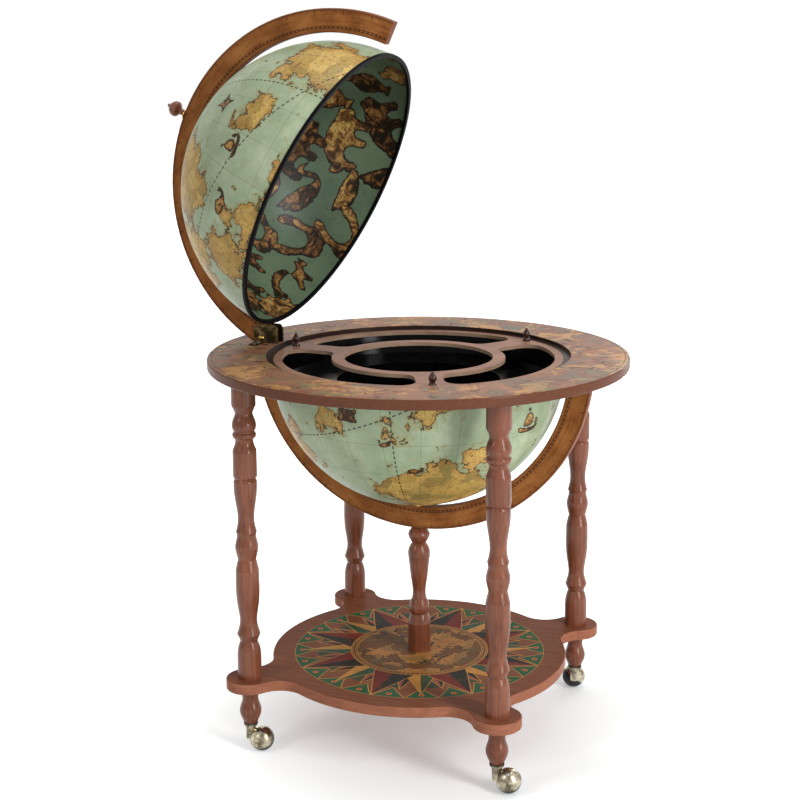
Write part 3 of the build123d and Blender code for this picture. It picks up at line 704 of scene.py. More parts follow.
# %% The rose and the shelf
def rose_print(tree, place):
    """The rose itself, from its outer triangles inwards."""
    reach, turn = polar(tree, place, 0, 1)
    wood = stained_edge(tree, place, shelf_grain, 1.2, 0.02)
    swing = unsigned(tree, sector(tree, turn, triangle_count))
    climb = times(tree, minus(tree, reach, zigzag_low), 1 / (rose_reach - zigzag_low))
    inside = minus(tree, climb, swing)
    band = blend(tree, fade(tree, inside, 0.0, 0.02), paint(124, 76, 52), rose_green)
    band = blend(tree, stripe(tree, inside, 0.0, 0.025, 0.02), band, rose_ochre)
    aside = times(tree, swing, pi / triangle_count, reach)
    inward = minus(tree, reach, rose_reach - 0.0125)
    spot = vectors(tree, "LENGTH", join(tree, aside, inward), output=1)
    band = blend(tree, fade(tree, spot, 0.0046, 0.0054, 1.0, 0.0), band, paint(196, 108, 62))
    band = blend(tree, fade(tree, spot, 0.0016, 0.0022, 1.0, 0.0), band, rose_dark)
    checks = maths(tree, "GREATER_THAN", sector(tree, turn, check_count), 0.0)
    field = blend(tree, checks, paint(58, 74, 54), paint(132, 84, 54))
    colour = blend(tree, fade(tree, reach, zigzag_low, zigzag_low + 0.0004), field, band)
    for count, shift, tip, half_base, first, second in (
            (check_count, 0.0, 0.180, 0.018, paint(150, 84, 60), rose_dark),
            (check_count // 2, 0.0, 0.198, 0.026, rose_ochre, paint(58, 84, 62)),
            (check_count // 2, 0.5, 0.212, 0.036, rose_red, rose_dark)):
        colour = rays(tree, colour, reach, turn, count, shift, tip, half_base, first, second)
    teeth = fade(tree, unsigned(tree, sector(tree, turn, border_count)), 0.5, 0.6)
    border = blend(tree, teeth, paint(120, 78, 48), rose_dark)
    colour = blend(tree, fade(tree, reach, rays_low, rays_low + 0.0004, 1.0, 0.0), colour, border)
    for circle in (rays_low, disc_reach, rose_reach, disc_reach + 0.003, rays_low - 0.003):
        colour = blend(tree, stripe(tree, reach, circle, 0.0006), colour, rose_ochre)
    field = minus(tree, noise(tree, place, 17.0, 7.0, 0.6, 0.4), 0.5)
    disc = blend(tree, maths(tree, "GREATER_THAN", field, 0.0), paint(112, 74, 46), paint(172, 118, 66))
    washed = fade(tree, noise(tree, place, 31.0, 4.0, 0.6), 0.50, 0.58, 0.0, 0.55)
    disc = blend(tree, washed, disc, paint(106, 92, 58))
    disc = blend(tree, stripe(tree, field, 0.0, 0.006, 0.006), disc, rose_dark)
    marks = fade(tree, noise(tree, place, 120.0, 4.0, 0.7, 0.6), 0.60, 0.66, 0.0, 0.6)
    disc = blend(tree, marks, disc, rose_dark)
    colour = blend(tree, fade(tree, reach, disc_reach - 0.0004, disc_reach, 1.0, 0.0), colour, disc)
    rubbed = noise(tree, place, 60.0, 6.0, 0.7)
    colour = blend(tree, fade(tree, rubbed, 0.50, 0.72, 0.0, 0.5), colour, paint(122, 78, 54))
    return blend(tree, fade(tree, reach, rose_reach, rose_reach + 0.0005), colour, wood)


def shelf_print():
    """Stained shelf with the rose on its top face."""
    finish, tree, shader = new_finish("shelf_print", coated(0.02, 0.08, 0.02))
    place = object_place(tree)
    grain = noise(tree, stretched(tree, place, shelf_grain), 170.0, 5.0, 0.6, 0.3)
    # The edge is the same stain as the top, painted lighter and with more painted reflection, for the light
    # that the front edge catches.
    edge = stained_edge(tree, place, shelf_grain, 1.8, 0.11)
    colour = blend(tree, above(tree, place, shelf_top), edge, rose_print(tree, place))
    finish_board(tree, shader, colour, grain, 0.3)
    return finish


shelf_finish = shelf_print()
print("shelf print ready")

# %% [markdown]
# ## Printed figures in the material
# Engraved figures stand in the sky of the lining and in the seas of the globe. Further down, each shell
# stores at its points how deep they lie inside a figure, and the material reads that depth here. A little
# noise is added first, so that an outline of thirty points gets the small hairy edge of an engraving.
# Inside, the tone runs from dark brown to ochre with the height in the figure and with a coarse noise.

# %% Figure paint
def figure_paint(tree, place, colour, dark, middle, light, roughen=0.9):
    """Engraved figures over a ground colour, from the stored depth and rise."""
    depth = put(tree, "ShaderNodeAttribute", attribute_name="depth").outputs["Fac"]
    rise = put(tree, "ShaderNodeAttribute", attribute_name="rise").outputs["Fac"]
    fringe = minus(tree, noise(tree, place, 150.0, 4.0, 0.7), 0.5)
    depth = plus(tree, depth, times(tree, fringe, 9.0 * roughen))
    folds = fade(tree, noise(tree, place, 46.0, 4.0, 0.6, 1.4), 0.34, 0.66)
    tone = plus(tree, times(tree, folds, 0.62), times(tree, rise, 0.34))
    tone = plus(tree, tone, fade(tree, depth, 0.0, 5.0, -0.28, 0.0))
    body = ramp(tree, tone, (0.20, dark), (0.42, middle), (0.66, light), (0.92, land_yellow))
    creases = stripe(tree, noise(tree, place, 58.0, 3.0, 0.55, 1.8), 0.5, 0.010, 0.016)
    body = blend(tree, times(tree, creases, 0.75), body, dark)
    hairs = noise(tree, stretched(tree, place, (1.0, 0.35, 1.0)), 420.0, 3.0, 0.65)
    body = blend(tree, fade(tree, hairs, 0.50, 0.62, 0.0, 0.45), body, dark)
    line = fade(tree, unsigned(tree, minus(tree, depth, 0.7)), 0.7, 1.7, 0.95, 0.0)
    inside = fade(tree, depth, -0.3, 0.3)
    return blend(tree, line, blend(tree, inside, colour, body), dark)


def lining_print():
    """Dark green sky inside the lid, varnished, with brown figures."""
    finish, tree, shader = new_finish("lining_print", coated(0.12, 0.3, 0.12))
    place = object_place(tree, dome_center)
    cloud = noise(tree, place, 7.0, 5.0, 0.6)
    colour = ramp(tree, cloud, (0.3, paint(76, 94, 76)), (0.5, paint(94, 113, 89)),
                  (0.7, paint(108, 126, 99)))
    specks = fade(tree, noise(tree, place, 130.0, 4.0, 0.7), 0.58, 0.68, 0.0, 0.4)
    colour = blend(tree, specks, colour, paint(44, 54, 40))
    colour = figure_paint(tree, place, colour, paint(32, 24, 16), paint(104, 70, 40), paint(158, 114, 64))
    feed(tree, shader, {"Base Color": colour, "Roughness": fade(tree, cloud, 0.3, 0.7, 0.34, 0.46)})
    bump(tree, shader, noise(tree, place, 420.0, 3.0), 0.05, 0.0002)
    return finish


lining_finish = lining_print()
print("lining print ready")

# %% [markdown]
# ## The globe's printed skin
# The map on a globe can be a picture or a rule. A rule has no seams and stays sharp at any distance. Each
# land is a spot on the sphere with an angular radius, and a rough noise pushes its shore in and out until it
# looks like a coast. The lands here are invented, in the colours and sizes of an old printed globe.

# %% Lands, circles and a net on a sphere
net_count = 24               # one line every fifteen degrees


def spot_field(tree, heading, spots):
    """Angle inside the nearest spot, positive on land; a spot is its direction and radius in degrees."""
    field = None
    for direction, reach in spots:
        centre = tuple(Vector(direction).normalized())
        near = vectors(tree, "DOT_PRODUCT", heading, centre, output=1)
        inside = minus(tree, radians(reach), maths(tree, "ARCCOSINE", near))
        field = inside if field is None else maths(tree, "MAXIMUM", field, inside)
    return field


def great_circle(tree, heading, pole, dashes, width):
    """Dashed line where the sphere meets a plane through its centre."""
    pole = Vector(pole).normalized()
    start = pole.orthogonal().normalized()
    side = pole.cross(start)
    away = unsigned(tree, vectors(tree, "DOT_PRODUCT", heading, tuple(pole), output=1))
    line = fade(tree, away, width * 0.6, width, 1.0, 0.0)
    across = vectors(tree, "DOT_PRODUCT", heading, tuple(start), output=1)
    along = vectors(tree, "DOT_PRODUCT", heading, tuple(side), output=1)
    turns = times(tree, maths(tree, "ARCTAN2", across, along), dashes / (2 * pi))
    dash = fade(tree, maths(tree, "FRACT", turns), 0.55, 0.65, 1.0, 0.0)
    return times(tree, line, dash)


def graticule(tree, heading, pole, width):
    """Thin meridians and parallels, evenly spaced about a pole."""
    start = pole.orthogonal().normalized()
    side = pole.cross(start)
    height = vectors(tree, "DOT_PRODUCT", heading, tuple(pole), output=1)
    across = vectors(tree, "DOT_PRODUCT", heading, tuple(start), output=1)
    along = vectors(tree, "DOT_PRODUCT", heading, tuple(side), output=1)
    parallel = unsigned(tree, sector(tree, maths(tree, "ARCSINE", height), net_count))
    waist = maths(tree, "SQRT", minus(tree, 1.0, times(tree, height, height)))
    turn = maths(tree, "ARCTAN2", across, along)
    meridian = times(tree, unsigned(tree, sector(tree, turn, net_count)), waist)
    nearest = maths(tree, "MINIMUM", parallel, meridian)
    return fade(tree, nearest, width * 0.5, width, 1.0, 0.0)


print("sphere helpers ready")

# %% [markdown]
# ## The globe's two halves
# Both halves share one recipe and differ in their lands and their pole. The bowl hangs in the ring's shade,
# where the same colours would look darker, so its print is made a little lighter. The net of lines stays
# faint, so that the lands and the dashed circles lead.

# %% Globe print
map_scale = 4.0              # lumps of colour across a unit sphere
coast_width = 0.012          # widths on the unit sphere
net_width = 0.020
circle_width = 0.0056


def globe_print(name, centre, pole, spots, circles, level=1.0):
    """Printed and varnished map on a sphere about a centre, with its poles on a given axis."""
    finish, tree, shader = new_finish(name, coated(0.12, 0.2, 0.06))
    from_centre = object_place(tree, centre)
    heading = vectors(tree, "NORMALIZE", from_centre)
    rough = noise(tree, heading, 5.0, 9.0, 0.62)
    wobble = times(tree, minus(tree, rough, 0.5), 0.75)
    field = plus(tree, spot_field(tree, heading, spots), wobble)
    islands = minus(tree, noise(tree, heading, 11.0, 6.0, 0.6), 0.69)
    field = maths(tree, "MAXIMUM", field, times(tree, islands, 0.6))
    land = land_paint(tree, heading, map_scale)
    sea = sea_paint(tree, heading, map_scale)
    colour = blend(tree, maths(tree, "GREATER_THAN", field, 0.0), sea, land)
    colour = coast_lines(tree, colour, field, coast_width)
    net = graticule(tree, heading, pole, net_width)
    colour = blend(tree, times(tree, net, 0.34), colour, ink)
    for axis, dashes in circles:
        line = great_circle(tree, heading, axis, dashes, circle_width)
        colour = blend(tree, times(tree, line, 0.9), colour, dark_ink)
    colour = figure_paint(tree, from_centre, colour, ink, land_rust, land_ochre, 0.6)
    gloss = fade(tree, rough, 0.3, 0.7, 0.36, 0.5)
    feed(tree, shader, {"Base Color": toned(tree, colour, level), "Roughness": gloss})
    bump(tree, shader, noise(tree, from_centre, 500.0, 3.0), 0.05, 0.0002)
    return finish


# Each land is its direction from the centre and its radius in degrees; each circle its axis and its dashes.
lid_lands = [((-0.45, -0.22, 0.88), 17), ((-0.70, 0.70, 0.10), 15), ((-0.62, 0.72, -0.40), 14),
             ((-0.98, -0.14, 0.12), 8), ((-0.97, 0.10, -0.12), 7), ((-0.88, 0.34, -0.36), 8),
             ((-0.80, 0.16, 0.60), 5), ((0.5, 0.8, 0.9), 26), ((0.9, 0.9, -0.3), 24),
             ((-0.2, 1.0, -0.5), 16), ((0.95, -0.1, 0.3), 18)]
lid_circles = [((-0.39, -0.73, -0.55), 170), ((0.71, -0.28, 0.65), 170)]
bowl_lands = [((-0.52, -0.36, -0.86), 21), ((-0.62, 0.60, -0.52), 10), ((-0.90, -0.46, -0.05), 8),
              ((-0.95, 0.24, -0.22), 4), ((-0.94, -0.20, -0.30), 4), ((-0.60, -0.66, -0.46), 4),
              ((0.9, 0.3, -0.4), 24), ((0.4, 0.9, -0.5), 17), ((0.3, -1.0, -0.3), 12)]
bowl_circles = [((-0.24, 0.35, 0.90), 150), ((0.19, -0.98, 0.02), 150)]
lid_print = globe_print("lid_print", dome_center, lid_axis, lid_lands, lid_circles)
bowl_center = (0.0, 0.0, ring_middle)
bowl_axis = Vector((0, 0, 1))
bowl_print = globe_print("bowl_print", bowl_center, bowl_axis, bowl_lands, bowl_circles, 1.18)
print("globe prints ready")

# %% [markdown]
# ## Globe shells that can carry figures
# The solids' own meshes are coarse where they are smooth, so a drawing stored on their points would be lost.
# The dome, its lining and the bowl are therefore grown again as fine shells in exactly the same place. A
# half globe follows a rule, so Geometry Nodes makes it: a flat grid is rolled round an axis, its rows run
# down the outside, over the rim and back up the inside, and the seam and the poles are merged.

# %% A node group for a half-globe shell
def new_group(name, sockets):
    """Geometry node group with named inputs; returns the tree and its input node."""
    tree = bpy.data.node_groups.new(name, "GeometryNodeTree")
    for label, kind, value in sockets:
        socket = tree.interface.new_socket(name=label, in_out="INPUT", socket_type="NodeSocket" + kind)
        if value is not None:
            socket.default_value = value
    tree.interface.new_socket(name="Geometry", in_out="OUTPUT", socket_type="NodeSocketGeometry")
    return tree, tree.nodes.new("NodeGroupInput").outputs


def end_group(tree, geometry, finish):
    """Close a group: instances made real, one finish set, result handed out."""
    real = put(tree, "GeometryNodeRealizeInstances", {0: geometry}).outputs[0]
    finished = put(tree, "GeometryNodeSetMaterial", {"Geometry": real, "Material": finish}).outputs[0]
    tree.links.new(finished, tree.nodes.new("NodeGroupOutput").inputs[0])


def half_globe_group():
    """Shell about the origin with its pole up; each face has its own rows and its own rim angle."""
    tree, given = new_group("half_globe", [
        ("Outer radius", "Float", 0.25), ("Inner radius", "Float", 0.247),
        ("Outer rim angle", "Float", pi / 2), ("Inner rim angle", "Float", pi / 2),
        ("Around", "Int", 64), ("Outer rows", "Int", 16), ("Inner rows", "Int", 16),
        ("Turn", "Vector", None), ("Place", "Vector", None), ("Finish", "Material", None)])
    rows = plus(tree, given["Outer rows"], given["Inner rows"])
    columns = plus(tree, given["Around"], 1.0)
    grid = put(tree, "GeometryNodeMeshGrid", {0: 1.0, 1: 1.0, 2: columns, 3: rows}).outputs[0]
    flat = split(tree, put(tree, "GeometryNodeInputPosition").outputs[0])
    turn = times(tree, plus(tree, flat[0], 0.5), 2 * pi)
    last = minus(tree, rows, 1.0)
    row = maths(tree, "ROUND", times(tree, plus(tree, flat[1], 0.5), last))
    outside = maths(tree, "LESS_THAN", row, minus(tree, given["Outer rows"], 0.5))
    down = maths(tree, "DIVIDE", row, minus(tree, given["Outer rows"], 1.0))
    inner_last = minus(tree, given["Inner rows"], 1.0)
    up = maths(tree, "DIVIDE", minus(tree, last, row), inner_last)
    down = times(tree, down, given["Outer rim angle"])
    up = times(tree, up, given["Inner rim angle"])
    from_pole = between(tree, outside, up, down)
    radius = between(tree, outside, given["Inner radius"], given["Outer radius"])
    spread = times(tree, radius, maths(tree, "SINE", from_pole))
    point = join(
        tree,
        times(tree, spread, maths(tree, "COSINE", turn)),
        times(tree, spread, maths(tree, "SINE", turn)),
        times(tree, radius, maths(tree, "COSINE", from_pole)))
    shaped = put(tree, "GeometryNodeSetPosition", {"Geometry": grid, "Position": point}).outputs[0]
    closed = put(tree, "GeometryNodeMergeByDistance", {"Geometry": shaped, "Distance": 2e-5}).outputs[0]
    smooth = put(tree, "GeometryNodeSetShadeSmooth", {"Geometry": closed}).outputs[0]
    placed = put(tree, "GeometryNodeTransform", {
        "Geometry": smooth, "Translation": given["Place"], "Rotation": given["Turn"]}).outputs[0]
    end_group(tree, placed, given["Finish"])
    return tree


half_globe = half_globe_group()
print("half-globe group has", len(half_globe.nodes), "nodes")


# %% [markdown]
# ## From a node group to a plain mesh
# A modifier makes its mesh anew each time the scene is evaluated, which an exporter may not do. So the group
# is run once on an empty mesh, its result is kept as a plain mesh, and the modifier goes. A closed shell has
# no open edges, and the helper counts them, because a gap in the seam would not show in a picture.

# %% Growing a plain mesh from a node group
def grown(name, tree, values):
    """Run a node group with these inputs and keep its result as a plain, closed mesh."""
    seed = bpy.data.objects.new(name + "_seed", bpy.data.meshes.new(name + "_seed"))
    bpy.context.scene.collection.objects.link(seed)
    modifier = seed.modifiers.new("grow", "NODES")
    modifier.node_group = tree
    sockets = {item.name: item.identifier for item in tree.interface.items_tree if item.in_out == "INPUT"}
    for label, value in values.items():
        modifier[sockets[label]] = value
    evaluated = seed.evaluated_get(bpy.context.evaluated_depsgraph_get())
    mesh = bpy.data.meshes.new_from_object(evaluated)
    bpy.data.objects.remove(seed)
    body = bmesh.new()
    body.from_mesh(mesh)
    bmesh.ops.recalc_face_normals(body, faces=body.faces)
    open_edges = sum(not edge.is_manifold for edge in body.edges)
    body.to_mesh(mesh)
    body.free()
    piece = bpy.data.objects.new(name, mesh)
    bpy.context.scene.collection.objects.link(piece)
    print(name, "has", len(mesh.polygons), "faces and", open_edges, "open edges")
    return piece


group_inputs = [item.name for item in half_globe.interface.items_tree if item.in_out == "INPUT"]
print("inputs of the group:", group_inputs)

# %% [markdown]
# ## Drawing figures on a sphere
# The lid's lining shows a sky with old-fashioned figures, and the globe's seas have ships and beasts. Each
# figure is an outline of a few points, rounded by cutting its corners twice. A figure is laid on the sphere
# like a sticker. For every point of the shell below it, the distance to the outline is stored, positive
# inside. A distance can be drawn sharp in the material even where the mesh is coarser than the line.

# %% Outlines of the figures, in millimetres
swan = [(-38, 28), (-30, 34), (-22, 30), (-20, 20), (-26, 8), (-28, -4), (-18, -2), (-4, 10), (14, 18),
        (34, 26), (48, 30), (42, 18), (46, 12), (38, 6), (40, -2), (28, -12), (10, -20), (-12, -22),
        (-30, -16), (-38, -2), (-34, 12), (-30, 22), (-36, 23), (-48, 20)]
hull = [(-42, -14), (-32, -32), (28, -32), (46, -10), (34, -15), (20, -19), (-20, -19), (-30, -12)]
main_sail = [(-8, -15), (-24, -10), (-18, 20), (-4, 30), (12, 20), (20, -10)]
fore_sail = [(24, -13), (25, 16), (42, -8)]
pennant = [(-5, 30), (-3, 42), (-18, 40)]
sea_beast = [(-46, -6), (-40, 10), (-22, 20), (-10, 18), (-4, 28), (2, 16), (20, 8), (32, 6), (36, 18),
             (28, 32), (42, 27), (50, 31), (47, 16), (44, 4), (34, -8), (14, -18), (4, -28), (-4, -21),
             (-20, -21), (-36, -16)]
lyre = [(-20, 40), (-30, 32), (-31, 12), (-22, -8), (-26, -24), (-14, -36), (14, -36), (26, -24),
        (22, -8), (31, 12), (30, 32), (20, 40), (14, 30), (17, 10), (10, -12), (-10, -12), (-17, 10),
        (-14, 30)]
winged_horse = [(-46, 24), (-37, 36), (-30, 44), (-28, 34), (-20, 28), (-14, 18), (-6, 22), (6, 40),
                (20, 47), (36, 46), (25, 36), (31, 30), (18, 24), (20, 16), (32, 14), (42, 19), (50, 8),
                (48, -12), (41, 2), (34, -4), (30, -16), (40, -26), (35, -42), (27, -38), (31, -27),
                (20, -17), (4, -12), (-8, -14), (-9, -30), (-24, -40), (-28, -33), (-18, -25), (-18, -12),
                (-24, -4), (-38, -16), (-46, -12), (-34, 0), (-28, 12), (-34, 20), (-43, 17)]
eagle = [(0, 30), (-7, 35), (-12, 28), (-8, 18), (-20, 24), (-36, 40), (-48, 38), (-42, 26), (-48, 16),
         (-36, 12), (-40, 0), (-24, -3), (-12, -10), (-13, -22), (-22, -36), (-6, -29), (0, -41),
         (6, -29), (22, -36), (13, -22), (12, -10), (24, -3), (40, 0), (36, 12), (48, 16), (42, 26),
         (48, 38), (36, 40), (20, 24), (8, 18)]
bear = [(-48, 6), (-42, 18), (-36, 26), (-28, 21), (-12, 25), (10, 26), (30, 19), (43, 6), (46, -12),
        (43, -34), (28, -34), (30, -16), (22, -8), (8, -10), (5, -32), (-9, -32), (-6, -12), (-18, -8),
        (-22, -33), (-37, -32), (-32, -6), (-38, -1)]
urn = [(-12, 40), (12, 40), (8, 31), (14, 23), (26, 10), (23, -8), (10, -24), (8, -31), (18, -39),
       (-18, -39), (-8, -31), (-10, -24), (-23, -8), (-26, 10), (-14, 23), (-8, 31)]
goat_fish = [(-40, 34), (-30, 44), (-34, 30), (-22, 40), (-24, 26), (-16, 16), (-2, 14), (14, 8),
             (26, -6), (28, -20), (18, -30), (26, -40), (36, -28), (48, -34), (42, -16), (38, 4),
             (26, 20), (6, 26), (-2, 24), (-12, -2), (-8, -20), (-16, -30), (-20, -14), (-26, 0),
             (-34, -14), (-42, -10), (-34, 6), (-32, 20), (-44, 22)]
scroll = [(-34, 18), (-26, 27), (24, 20), (36, 28), (40, 14), (30, 8), (32, -14), (40, -24), (26, -28),
          (-26, -20), (-37, -28), (-40, -12), (-30, -6), (-31, 10)]


def rayed(count, outer, inner):
    """Star outline with this many rays."""
    steps = [(outer if i % 2 == 0 else inner, pi * i / count) for i in range(2 * count)]
    return [(radius * cos(turn), radius * sin(turn)) for radius, turn in steps]


def crescent(radius, hollow, shift):
    """Moon outline between two round arcs."""
    back = [(radius * cos(radians(a)), radius * sin(radians(a))) for a in range(50, 311, 20)]
    front = [(shift + hollow * cos(radians(a)), hollow * sin(radians(a))) for a in range(290, 69, -20)]
    return back + front


def winding(length, wave, thick):
    """Serpent outline about a waving middle line, thin at the tail."""
    stations = [i / 24 for i in range(25)]
    middle = [(length * (s - 0.5), wave * sin(3.2 * pi * s)) for s in stations]
    width = [thick * min(1.0, 4 * s + 0.15) * (1.0 - 0.2 * s) for s in stations]
    upper = [(x, y + w) for (x, y), w in zip(middle, width)]
    lower = [(x, y - w) for (x, y), w in zip(middle, width)]
    return upper + lower[::-1]


figures = {"swan": [swan], "ship": [hull, main_sail, fore_sail, pennant], "beast": [sea_beast],
           "lyre": [lyre], "horse": [winged_horse], "eagle": [eagle], "bear": [bear], "urn": [urn],
           "goat": [goat_fish], "scroll": [scroll], "sun": [rayed(14, 44, 26)],
           "moon": [crescent(36, 31, 14)],
           "serpent": [winding(120, 16, 7)], "compass": [rayed(4, 34, 8), rayed(8, 19, 7)]}
print(len(figures), "figures drawn")


# %% [markdown]
# ## Laying figures on a shell
# Each figure has a middle on the sphere and an upright. The points near it are laid flat about that middle
# without changing their distance to it, as a map about one pole does, so a figure keeps its size wherever it
# is. Each point stores its depth in the figure that it lies deepest in. Where two figures overlap, it stores
# its lead over the second one instead, and where that lead is nothing a line parts the two.

# %% Laying figures on a shell
far_outside = -12.0          # depth stored where there is no figure, in millimetres
figure_reach = 0.075         # metres from a figure's middle within which it can lie, at size 1
rise_height, rise_width = 80.0, 160.0    # how fast a figure grows lighter upwards and to its left


def rounded(outline):
    """Cut every corner of a closed outline twice, which rounds it."""
    points = np.array(outline, float)
    for _ in range(2):
        following = np.roll(points, -1, axis=0)
        cuts = [0.75 * points + 0.25 * following, 0.25 * points + 0.75 * following]
        points = np.stack(cuts, 1).reshape(-1, 2)
    return points


def depth_inside(points, outline):
    """Distance of each point to a closed outline, positive inside it."""
    start, end = outline, np.roll(outline, -1, axis=0)
    edge = end - start
    to_point = points[:, None, :] - start[None]
    share = np.clip((to_point * edge).sum(2) / (edge * edge).sum(1), 0.0, 1.0)
    gap = np.linalg.norm(to_point - share[..., None] * edge, axis=2).min(1)
    rises = (start[:, 1] > points[:, 1:2]) != (end[:, 1] > points[:, 1:2])
    height = np.where(np.abs(edge[:, 1]) < 1e-9, 1e-9, edge[:, 1])
    crossing = start[:, 0] + (points[:, 1:2] - start[:, 1]) * edge[:, 0] / height
    inside = (rises & (points[:, 0:1] < crossing)).sum(1) % 2 == 1
    return np.where(inside, gap, -gap)


def lay_figures(piece, centre, pole, placements):
    """Store how deep each point lies in a figure, and its height there; a line parts two that meet."""
    mesh = piece.data
    points = np.empty(len(mesh.vertices) * 3)
    mesh.vertices.foreach_get("co", points)
    points = points.reshape(-1, 3) - np.array(centre)
    radius = np.linalg.norm(points, axis=1)
    heading = points / radius[:, None]
    depth = np.full(len(points), far_outside)
    second_depth = np.full(len(points), far_outside)
    rise = np.zeros(len(points))
    pole = Vector(pole).normalized()
    first = Vector((1, 0, 0)).cross(pole).normalized()
    second = pole.cross(first)
    for kind, from_pole, around, lean, size in placements:
        from_pole, around = radians(from_pole), radians(around)
        out = sin(from_pole) * (cos(around) * first + sin(around) * second) + cos(from_pole) * pole
        up = (pole - pole.dot(out) * out).normalized() if from_pole > 0.01 else first
        up = Matrix.Rotation(radians(lean), 3, out) @ up
        side = up.cross(out)
        away = np.arccos(np.clip(heading @ np.array(out), -1.0, 1.0))
        near = np.nonzero(away * radius.mean() < figure_reach * size)[0]
        stretch = away[near] / np.maximum(np.sin(away[near]), 1e-6) * radius[near] * 1000.0 / size
        flat = heading[near] @ np.stack([np.array(side), np.array(up)], 1) * stretch[:, None]
        depths = [depth_inside(flat, rounded(outline)) for outline in figures[kind]]
        inside = np.max(depths, axis=0) * size
        better = inside > depth[near]
        second_depth[near] = np.where(better, depth[near], np.maximum(second_depth[near], inside))
        depth[near] = np.where(better, inside, depth[near])
        own_tone = 0.4 + 0.5 * sin(2.3 * around + from_pole)
        climb = flat[:, 1] / rise_height - flat[:, 0] / rise_width + own_tone
        rise[near] = np.where(better, climb, rise[near])
    depth = np.where(second_depth > 0.0, np.minimum(depth, depth - second_depth), depth)
    for label, values in (("depth", depth), ("rise", rise)):
        layer = mesh.attributes.new(label, "FLOAT", "POINT")
        layer.data.foreach_set("value", values.astype(np.float32))
    covered = round(100 * float((depth > 0).mean()))
    print(piece.name, "carries", len(placements), "figures on", covered, "% of it")


print("figure helpers ready")

# %% [markdown]
# ## The three shells
# The row counts put the fine rows on the side that shows: outside on the dome and the bowl, inside on the
# lining. The rim angles come from the solids: the dome and its lining end on their own centre plane, and
# the bowl is cut a little lower, where it meets the ring.

# %% Dome, lining and bowl
fine_around, fine_rows, coarse_rows = 520, 145, 31
lid_turn = (-open_angle, 0.0, 0.0)
bowl_turn = (pi, 0.0, 0.0)
lining_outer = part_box("lid_lining")[1].x
dome_wall = 0.003
lining_wall = 0.001
bowl_wall = 0.003


def globe_shell(name, outer, wall, cut, place, turn, outer_rows, inner_rows, finish):
    """One half-globe shell; cut is how far its rim lies from the centre plane."""
    return grown(name, half_globe, {
        "Outer radius": outer, "Inner radius": outer - wall, "Outer rim angle": acos(cut / outer),
        "Inner rim angle": acos(cut / (outer - wall)), "Around": fine_around, "Outer rows": outer_rows,
        "Inner rows": inner_rows, "Turn": turn, "Place": tuple(place), "Finish": finish})


dome = globe_shell("dome_shell", dome_radius, dome_wall, 0.0, dome_center, lid_turn,
                   fine_rows, coarse_rows, lid_print)
lining = globe_shell("lining_shell", lining_outer, lining_wall, 0.0, dome_center, lid_turn,
                     coarse_rows, fine_rows, lining_finish)
bowl = globe_shell("bowl_shell", bowl_radius, bowl_wall, ring_middle - bowl_rim, bowl_center, bowl_turn,
                   fine_rows, coarse_rows, bowl_print)
for piece, body, solid, label in (
        (dome, "lid", "lid_dome", "globe_shell"),
        (lining, "lid", "lid_lining", "globe_lining"),
        (bowl, "stand", "bowl", "globe_shell")):
    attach(piece, body)
    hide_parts(solid)

# %% [markdown]
# ## Where the figures go
# The sky inside the lid is crowded and even, so its figures stand on a spiral that turns by the golden angle
# at each step. That spreads any number of things over a sphere without rows, as seeds do in a sunflower.
# The globe's seas have only a few ships and beasts, each put where there is open water.

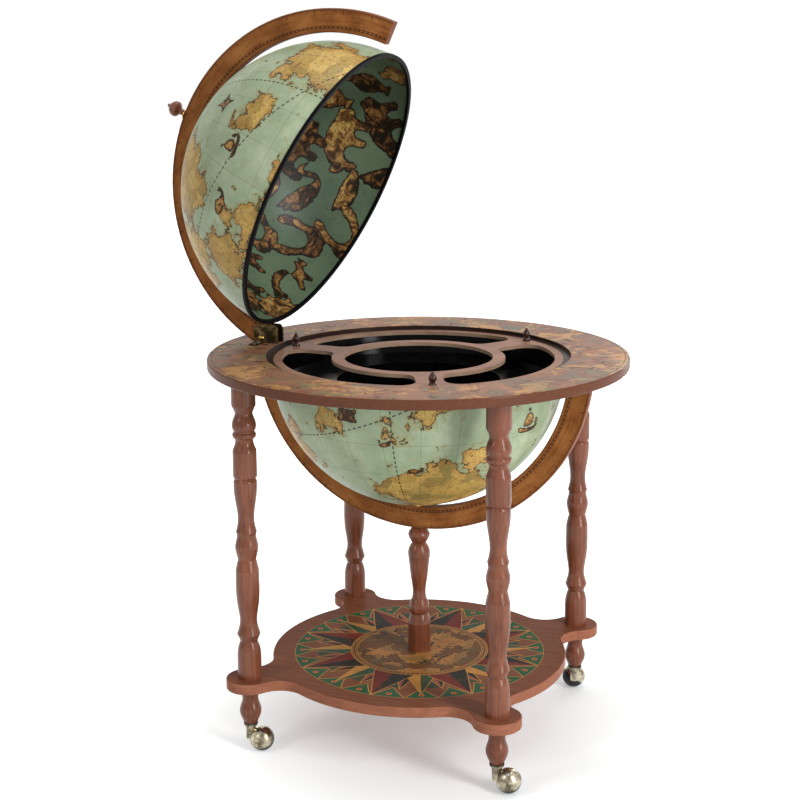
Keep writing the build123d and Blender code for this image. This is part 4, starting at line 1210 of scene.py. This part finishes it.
# %% Figures on the shells: kind, degrees from the pole, degrees round it, lean, size
sky_kinds = ("horse", "scroll", "eagle", "urn", "bear", "swan", "lyre", "goat", "sun", "beast", "ship",
             "moon", "serpent")
sky_count = 54
golden_turn = 137.508
lining_figures = []
for i in range(sky_count):
    kind = sky_kinds[i * 5 % len(sky_kinds)]
    from_pole = degrees(acos(1.0 - (i + 0.4) / sky_count))
    size = 1.16 + 0.14 * sin(2.0 * i)
    lining_figures.append((kind, from_pole, golden_turn * i, 30 * sin(5.0 * i), size))
lay_figures(lining, dome_center, lid_axis, lining_figures)
lid_figures = [("compass", 50, -60, 20, 0.75), ("ship", 66, -76, 10, 0.5), ("beast", 72, -98, 0, 0.45),
               ("ship", 60, 20, 0, 0.5), ("serpent", 70, 100, 0, 0.5), ("compass", 55, 150, 0, 0.8)]
lay_figures(dome, dome_center, lid_axis, lid_figures)
bowl_figures = [("ship", 73, -160, 180, 0.6), ("beast", 55, -110, 180, 0.28), ("scroll", 79, -84, 180, 0.45),
                ("swan", 68, -98, 180, 0.26), ("ship", 74, -20, 180, 0.6), ("compass", 70, 30, 180, 0.8),
                ("beast", 66, 90, 180, 0.6)]
lay_figures(bowl, bowl_center, -bowl_axis, bowl_figures)

# %% [markdown]
# ## Dressing the solids
# The other pieces keep their solids' own meshes and only get a finish. The names say what each piece is, so
# one line dresses all pieces of a kind. The solids that the shells stand for are dressed as well, so
# that no piece is left without a finish.

# %% Dress the solids
def dress(node_names, finish):
    """Give whole solids one finish."""
    for name in node_names:
        mesh = nodes[name].data
        mesh.materials.clear()
        mesh.materials.append(finish)
        mesh.polygons.foreach_set("material_index", [0] * len(mesh.polygons))


def starting(*beginnings):
    """Names of the solids that start with one of these words."""
    return [name for name in nodes if name.startswith(beginnings)]


dress(starting("leg_", "foot_", "centre_post", "arc_dowels", "pole_finial", "lid_hinge_block"), turned_wood)
dress(starting("insert_knob"), knob_wood)
dress(starting("caster_frame"), old_brass)
dress(starting("caster_socket"), socket_metal)
dress(starting("caster_wheel"), wheel_plastic)
dress(starting("caster_axle", "stud_", "bowl_bolt", "pole_rod", "hinge_screws"), zinc_steel)
dress(starting("pole_spacer", "pole_collar", "pole_nut", "bowl_spacer"), bright_brass)
dress(starting("hinge_bush", "hinge_pin"), bright_brass)
dress(starting("hinge_bracket"), dark_bronze)
for solid, finish in {
        "shelf": shelf_finish, "table_ring": ring_finish, "bottle_insert": insert_finish,
        "lower_arc": lower_scale, "upper_arc": upper_scale, "inner_tray": tray_plastic,
        "lid_rim_trim": rim_plastic, "lid_dome": lid_print, "bowl": bowl_print,
        "lid_lining": lining_finish}.items():
    dress([solid], finish)
print("solids without a finish:", [name for name in nodes if not nodes[name].data.materials])
